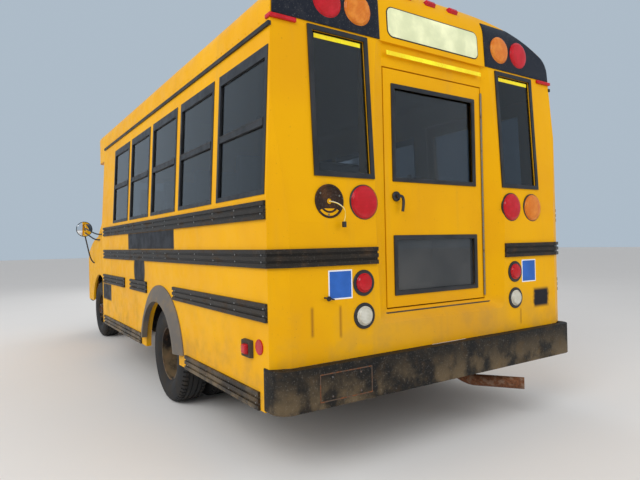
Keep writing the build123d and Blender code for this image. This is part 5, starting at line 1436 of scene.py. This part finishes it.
def padded_form(name, low, high, lean, voxel, cap):
    """Soft closed form whose top may lean back, inflated as cloth and held near its first shape."""
    form = slab(name, low, high)
    shifted(form, facing(z=1), (-lean, 0, 0))
    bevel(form, 0.016)
    modifier(form, "REMESH", mode="VOXEL", voxel_size=voxel)
    rest = [vertex.co.copy() for vertex in form.data.vertices]
    choose(form)
    cloth = form.modifiers.new("Cloth", "CLOTH")
    cloth.settings.use_pressure = True
    cloth.settings.uniform_pressure_force = CUSHION_PRESSURE
    cloth.settings.effector_weights.gravity = 0
    scene = bpy.context.scene
    for step in range(CLOTH_STEPS):
        scene.frame_set(step + 1)
    bpy.ops.object.modifier_apply(modifier=cloth.name)
    scene.frame_set(1)
    for vertex, first in zip(form.data.vertices, rest):
        moved = vertex.co - first
        if moved.length > cap:
            vertex.co = first + moved.normalized() * cap
    modifier(form, "SMOOTH", factor=0.5, iterations=3)
    return form


class BUS_OT_seats(bpy.types.Operator):
    """Padded bench seats, and the driver's seat"""

    bl_idname = "bus.seats"
    bl_label = "Seats"

    def execute(self, context):
        inner, outer = BENCH_INNER_Y + PAD_ROOM, BENCH_OUTER_Y - PAD_ROOM
        bottom = SEAT_Z - PAD_THICKNESS
        cushion = padded_form(
            "bench_cushion", (0.014 - BENCH_DEPTH, inner, bottom + 0.012), (-0.014, outer, SEAT_Z - 0.014),
            0.0, 0.011, 0.010,
        )
        back = padded_form(
            "bench_back", (-BENCH_DEPTH - BACK_THICKNESS + PAD_ROOM, inner, bottom + 0.02),
            (-BENCH_DEPTH - 0.010, outer, BACK_TOP_Z - 0.012), 0.058, 0.012, 0.009,
        )
        for i, (front, side) in enumerate(BENCH_FRONTS):
            for pattern, label in ((cushion, "cushion"), (back, "back")):
                pad = copy_of(pattern, f"bench_{label}_{i}", (at(front), 0, 0))
                if side < 0:
                    pad = moved_across(pad)
                dress(pad, "root", "seat_vinyl", angle=60, stands_for="bench_pads")
        bpy.data.objects.remove(cushion)
        bpy.data.objects.remove(back)
        for name, (rear, front), (low, high), lean in DRIVER_PADS:
            pad = padded_form(
                name, (at(rear), DRIVER_Y[0], low), (at(front), DRIVER_Y[1], high), lean, 0.010, 0.009
            )
            dress(pad, "root", "seat_vinyl", angle=60, stands_for="driver_seat")
        return {"FINISHED"}


# Rear bumper: half width, reach behind and ahead of the wall, heights, corner radius, sheet, flange, gap
BUMPER_HALF_WIDTH = 1.204
BUMPER_REACH = 0.060
BUMPER_RETURN = 0.095
BUMPER_Z = (0.372, 0.582)
BUMPER_CORNER = 0.085
BUMPER_SHEET = 0.010
BUMPER_FLANGE = 0.054
BUMPER_GAP = 0.004
# Bumper arms, on the frame's rails: half width, heights, front station
ARM_HALF_WIDTH = 0.033
ARM_Z = (0.464, 0.521)
ARM_END = 0.20
# Worn outline of a plate, and the plate's bolts from its middle: y, z, half width, half height
PLATE_MARK = (0.81, 0.474, 0.165, 0.070)
PLATE_BOLTS = (0.0889, 0.04824)
# Chassis frame: y of a rail's middle, width, height and wall of its channel, underside, end stations
RAIL_Y = 0.430
CHANNEL = (0.066, 0.160, 0.008)
FRAME_Z = 0.520
FRAME_ENDS = (0.050, 6.045)
CROSS_STATIONS = (0.26, 1.2, 2.42, 3.3, 4.35, 5.98)
CROSS_HALF_WIDTH = 0.035
CROSS_HEIGHT = 0.080
OUTRIGGER_STATIONS = (0.17, 0.69, 1.23, 2.4, 3.05, 3.72)
OUTRIGGER_HALF_WIDTH = 0.030
OUTRIGGER_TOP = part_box("chassis_frame")[1].z


class BUS_OT_rear_bumper(bpy.types.Operator):
    """Bent channel bumper with its top flange, plate outline and arms"""

    bl_idname = "bus.rear_bumper"
    bl_label = "Rear bumper"

    def execute(self, context):
        low = (at(-BUMPER_REACH), -BUMPER_HALF_WIDTH, BUMPER_Z[0])
        channel = slab("rear_bumper_channel", low, (at(BUMPER_RETURN), BUMPER_HALF_WIDTH, BUMPER_Z[1]))
        pick_edges(channel, lambda start, end: abs(start.z - end.z) > 0.1 and start.x < REAR_X)
        bpy.ops.mesh.bevel(offset=BUMPER_CORNER, segments=10, affect="EDGES")
        object_mode()
        pick_faces(channel, lambda place, normal: normal.z < -0.9 or normal.x > 0.9)
        bpy.ops.mesh.delete(type="FACE")
        inner_y = BUMPER_HALF_WIDTH - BUMPER_FLANGE
        cuts = (
            ((at(-BUMPER_GAP), 0, 0), (1, 0, 0)), ((0, inner_y, 0), (0, 1, 0)), ((0, -inner_y, 0), (0, 1, 0)),
        )
        for place, ahead in cuts:
            select_whole()
            bpy.ops.mesh.bisect(plane_co=place, plane_no=ahead)
        object_mode()
        pick_faces(
            channel,
            lambda place, normal: normal.z > 0.9 and place.x > at(-BUMPER_GAP) and abs(place.y) < inner_y,
        )
        bpy.ops.mesh.delete(type="FACE")
        object_mode()
        modifier(channel, "SOLIDIFY", thickness=BUMPER_SHEET, offset=-1.0)
        bevel(channel, 0.003, 3, 40)
        parts = [channel]
        for side in (1, -1):
            y = side * RAIL_Y
            low = (at(0.01 - BUMPER_REACH), y - ARM_HALF_WIDTH, ARM_Z[0])
            parts.append(block("bumper_arm", low, (at(ARM_END), y + ARM_HALF_WIDTH, ARM_Z[1]), 0.003))
        whole = joined("rear_bumper_formed", parts)
        dress(whole, "root", "bumper_black", angle=30, stands_for="rear_bumper")
        y, z, half_y, half_z = PLATE_MARK
        face = at(-BUMPER_REACH)
        rim = window_ring("plate_outline", (face, y, z), half_y, half_z, 0.006, 0.003)
        dress(rim, "root", "bumper_black", "plate_rust", 40)
        over, up = PLATE_BOLTS
        bolts = [
            rod("plate_bolt", (face - 0.0012, y + side * over, z + end * up), 0.0055, 0.005, "X", 6, 0.0008)
            for side in (-1, 1) for end in (-1, 1)
        ]
        dress(joined("plate_bolts", bolts), "root", "handle_grey", "nut_steel")
        return {"FINISHED"}


class BUS_OT_chassis(bpy.types.Operator):
    """Channel frame with cross members and outriggers, that ends inside the rear wall"""

    bl_idname = "bus.chassis"
    bl_label = "Chassis frame"

    def execute(self, context):
        width, height, wall = CHANNEL
        start, end = map(at, FRAME_ENDS)
        top = FRAME_Z + height
        rail = slab("frame_rail", (start, RAIL_Y - width / 2, FRAME_Z), (end, RAIL_Y + width / 2, top))
        pressed(rail, facing(y=-1), wall, (0, width - wall, 0))
        bevel(rail, 0.002)
        parts = [rail, across(rail, "frame_rail_right")]
        inner, outer = RAIL_Y + width / 2 - wall, WALL_Y - 0.040
        beams = (
            (CROSS_STATIONS, CROSS_HALF_WIDTH, inner, FRAME_Z + wall, FRAME_Z + CROSS_HEIGHT, 0.004),
            (OUTRIGGER_STATIONS, OUTRIGGER_HALF_WIDTH, outer, top, OUTRIGGER_TOP, 0.003),
        )
        for stations, half, reach, low, high, edge in beams:
            for station in stations:
                corners = ((at(station - half), -reach, low), (at(station + half), reach, high))
                parts.append(block("beam", *corners, edge))
        whole = joined("chassis_frame_channels", parts)
        dress(whole, "root", "chassis_black", angle=30, stands_for="chassis_frame")
        return {"FINISHED"}


# Exhaust: station, y and z of its route
EXHAUST_ROUTE = (
    (5.290, -0.250, 0.470),
    (2.900, -0.250, 0.470),
    (0.520, -0.250, 0.470),
    (0.400, -0.290, 0.410),
    (0.230, -0.390, 0.245),
    (0.110, -0.480, 0.245),
    (-0.078, -0.612, 0.245),
)
PIPE_RADIUS = 0.038
PIPE_WALL = 0.003
PIPE_BORE = 0.18
# Silencer: start station, length, half width, half height
SILENCER = (2.560, 0.620, 0.100, 0.058)


class BUS_OT_exhaust(bpy.types.Operator):
    """Rusty exhaust pipe with an open end and an oval silencer"""

    bl_idname = "bus.exhaust"
    bl_label = "Exhaust"

    def execute(self, context):
        route = [Vector((at(station), y, z)) for station, y, z in EXHAUST_ROUTE]
        pipe = tube("exhaust_pipe", route, PIPE_RADIUS, sides=8)
        end = route[-1]
        ahead = (end - route[-2]).normalized()
        pick_faces(pipe, lambda place, normal: (place - end).length < 0.01 and normal.dot(ahead) > 0.9)
        bpy.ops.mesh.inset(thickness=PIPE_WALL)
        bpy.ops.mesh.extrude_region_move(TRANSFORM_OT_translate={"value": -PIPE_BORE * ahead})
        object_mode()
        start, length, half_y, half_z = SILENCER
        centre = (at(start), *EXHAUST_ROUTE[1][1:])
        near_end = (
            (PIPE_RADIUS + 0.002, -0.02), (PIPE_RADIUS + 0.003, 0.0), (half_y - 0.012, 0.004),
            (half_y - 0.003, 0.010), (half_y, 0.022),
        )
        far_end = tuple((radius, length - offset) for radius, offset in reversed(near_end))
        can = lathe("silencer", centre, "X", near_end + far_end, closed=True)
        choose(can)
        edit_mode()
        select_whole()
        bpy.ops.transform.resize(value=(1, 1, half_z / half_y), center_override=centre)
        object_mode()
        dress(joined("exhaust_system", [pipe, can]), "root", "exhaust_steel", stands_for="exhaust")
        return {"FINISHED"}


# Round mirror: middle of the head, radius, and the feet of its three arms
MIRROR_PLACE = Vector((REAR_X + 5.675, 1.108, 1.450))
MIRROR_RADIUS = 0.105
ARM_FEET = ((5.11, 0.972, 1.37), (5.24, 0.972, 1.30), (5.64, 0.970, 0.98))
ARM_RADIUS = 0.009
# Where each arm meets the head, from its middle, and the arm's knee, from its foot
ARM_HEADS = ((0.012, 0, 0.02), (0.012, 0, -0.04), (0.012, 0, -0.04))
ARM_KNEE = Vector((0.03, 0.05, -0.02))
# Mirror glass: shares of its radius at which the dome is drawn, edge, and height of the dome
DOME_SHARES = (1, 0.85, 0.65, 0.42, 0.15)
DOME_EDGE = 0.0125
DOME_HEIGHT = 0.016


class BUS_OT_mirrors(bpy.types.Operator):
    """Round mirrors with domed glass on three-tube arms"""

    bl_idname = "bus.mirrors"
    bl_label = "Mirrors"

    def execute(self, context):
        radius = MIRROR_RADIUS
        shell = lathe(
            "mirror_shell", MIRROR_PLACE, "X",
            ((radius - 0.008, -0.012), (radius - 0.004, -0.016), (radius, -0.014), (radius + 0.0005, -0.006),
             (radius - 0.004, 0.004), (radius * 0.8, 0.014), (radius * 0.5, 0.020), (radius * 0.2, 0.022)),
            closed=True,
        )
        dome = [(radius - 0.0075, -0.008)]
        for share in DOME_SHARES:
            dome.append((share * (radius - 0.008), -DOME_EDGE - DOME_HEIGHT * (1 - share**2)))
        glass = lathe("mirror_glass_left", MIRROR_PLACE, "X", dome, closed=True)
        arms = []
        for i, ((station, y, z), meet) in enumerate(zip(ARM_FEET, ARM_HEADS)):
            foot = Vector((at(station), y, z))
            head = MIRROR_PLACE + Vector(meet)
            knee = foot + ARM_KNEE
            arms.append(tube(f"arm_{i}", [foot, knee, head.lerp(knee, 0.25), head], ARM_RADIUS))
            arms.append(rod(f"foot_{i}", foot - Vector((0, 0.002, 0)), 0.024, 0.012, "Y", 24, 0.002))
        clamp = rod("mirror_clamp", MIRROR_PLACE + Vector((0.022, 0, -0.01)), 0.02, 0.03, "Z", 20, 0.003)
        left = joined("mirrors_left", [shell, clamp] + arms)
        right = across(left, "mirrors_right")
        other_glass = across(glass, "mirror_glass_right")
        for piece in (left, right):
            dress(piece, "root", "mirror_black", angle=40, stands_for="mirrors")
        for piece in (glass, other_glass):
            dress(piece, "root", "mirror_black", "mirror_glass", 60)
        return {"FINISHED"}


# Camera of the photograph: place, turn to the left of straight ahead, tilt up and roll
CAMERA_PLACE = Vector((-5.2465, 2.3723, 1.1911))
CAMERA_YAW = math.radians(-33.45)
CAMERA_PITCH = math.radians(0.323)
CAMERA_ROLL = math.radians(-1.181)
# World: colour and strength of its light, and of what the camera, the gloss and the glass see
WORLD = (((0.96, 0.97, 1.0), 0.62), ((0.42, 0.50, 0.58), 1.0))
# Soft lights: name, place, aim, width, height, share of the key power
LIGHTS = (
    ("key", (-6.5, 7.0, 7.0), (-1.0, 0.4, 1.2), 6.0, 4.0, 1.1),
    ("side_fill", (1.5, 9.0, 4.5), (0.3, 1.0, 1.3), 7.0, 4.0, 0.9),
    ("rear_fill", (-8.5, -3.5, 4.0), (-3.0, 0.0, 1.2), 5.0, 4.0, 0.5),
    ("front_fill", (8.0, -4.0, 5.0), (1.5, 0.0, 1.2), 6.0, 4.0, 0.5),
)


def build_world(context):
    """Soft light from all round, behind a plain backdrop."""
    world = bpy.data.worlds.new("surroundings")
    world.use_nodes = True
    context.scene.world = world
    tree = world.node_tree
    light = tree.nodes["Background"]
    shown = tree.nodes.new("ShaderNodeBackground")
    for node, (colour, strength) in zip((light, shown), WORLD):
        node.inputs["Color"].default_value = (*colour, 1)
        node.inputs["Strength"].default_value = strength
    path = tree.nodes.new("ShaderNodeLightPath")
    seen = path.outputs["Is Camera Ray"]
    for ray in ("Is Glossy Ray", "Is Transmission Ray"):
        either = tree.nodes.new("ShaderNodeMath")
        either.operation = "MAXIMUM"
        tree.links.new(seen, either.inputs[0])
        tree.links.new(path.outputs[ray], either.inputs[1])
        seen = either.outputs[0]
    mix = tree.nodes.new("ShaderNodeMixShader")
    for socket, value in zip(mix.inputs, (seen, light.outputs[0], shown.outputs[0])):
        tree.links.new(value, socket)
    tree.links.new(mix.outputs[0], tree.nodes["World Output"].inputs[0])


class BUS_OT_stage(bpy.types.Operator):
    """Pale floor, plain surroundings, soft lights and the camera of the photograph"""

    bl_idname = "bus.stage"
    bl_label = "Stage"

    def execute(self, context):
        look = context.scene.bus_stage
        deselect()
        bpy.ops.mesh.primitive_plane_add(size=120, location=(0, 0, -0.001))
        floor = new_piece("floor")
        ground = Finish("floor_plain", look.floor, 0.9)
        ground.colour(ground.mix(ground.noise(0.8, 4), tuple(look.floor), scaled(look.floor, 0.96)))
        floor.data.materials.append(ground.material)
        build_world(context)
        for name, place, aim, width, height, share in LIGHTS:
            lamp = bpy.data.lights.new(name, "AREA")
            lamp.shape = "RECTANGLE"
            lamp.size = width
            lamp.size_y = height
            lamp.energy = look.key_power * share
            holder = bpy.data.objects.new(name, lamp)
            holder.location = place
            holder.rotation_euler = (Vector(aim) - Vector(place)).to_track_quat("-Z", "Y").to_euler()
            # The fills light the paint but are not mirrored by the panes
            holder.visible_glossy = name == "key"
            context.scene.collection.objects.link(holder)
        camera = bpy.data.cameras.new("camera")
        camera.sensor_width = 36
        camera.lens = look.lens
        camera.clip_end = 200
        holder = bpy.data.objects.new("camera", camera)
        ahead = Vector((
            math.cos(CAMERA_YAW) * math.cos(CAMERA_PITCH),
            math.sin(CAMERA_YAW) * math.cos(CAMERA_PITCH),
            math.sin(CAMERA_PITCH),
        ))
        level = Vector((math.sin(CAMERA_YAW), -math.cos(CAMERA_YAW), 0))
        over = level.cross(ahead)
        right = math.cos(CAMERA_ROLL) * level + math.sin(CAMERA_ROLL) * over
        up = -math.sin(CAMERA_ROLL) * level + math.cos(CAMERA_ROLL) * over
        turn = Matrix((right, up, -ahead)).transposed()
        holder.matrix_world = Matrix.Translation(CAMERA_PLACE) @ turn.to_4x4()
        context.scene.collection.objects.link(holder)
        context.scene.camera = holder
        context.scene.view_settings.view_transform = "Standard"
        return {"FINISHED"}


OPERATORS = (
    BUS_OT_paint_frame,
    BUS_OT_stage,
    BUS_OT_lamp_socket,
    BUS_OT_lamps,
    BUS_OT_lamp_panels,
    BUS_OT_sign,
    BUS_OT_labels,
    BUS_OT_tyres,
    BUS_OT_wheel_nuts,
    BUS_OT_rivets,
    BUS_OT_drip_strips,
    BUS_OT_sash_latches,
    BUS_OT_reflective_strips,
    BUS_OT_rear_door_trim,
    BUS_OT_toggle,
    BUS_OT_seats,
    BUS_OT_rear_bumper,
    BUS_OT_chassis,
    BUS_OT_exhaust,
    BUS_OT_mirrors,
)
SETTINGS = {"bus_body": BusBodySettings, "bus_wheels": BusWheelSettings, "bus_stage": BusStageSettings}


class BUS_PT_pieces(bpy.types.Panel):
    """Pieces of the bus in the order in which they are made"""

    bl_label = "School Bus"
    bl_idname = "BUS_PT_pieces"
    bl_space_type = "VIEW_3D"
    bl_region_type = "UI"
    bl_category = "School Bus"

    def draw(self, context):
        for operator in OPERATORS:
            self.layout.operator(operator.bl_idname)


def register():
    for cls in (*SETTINGS.values(), *OPERATORS, BUS_PT_pieces):
        bpy.utils.register_class(cls)
    for name, cls in SETTINGS.items():
        setattr(bpy.types.Scene, name, bpy.props.PointerProperty(type=cls))


def unregister():
    for name in SETTINGS:
        delattr(bpy.types.Scene, name)
    for cls in reversed((*SETTINGS.values(), *OPERATORS, BUS_PT_pieces)):
        bpy.utils.unregister_class(cls)


def main():
    register()
    for operator in OPERATORS:
        group, name = operator.bl_idname.split(".")
        getattr(getattr(bpy.ops, group), name)()
    deselect()


if __name__ == "__main__":
    main()
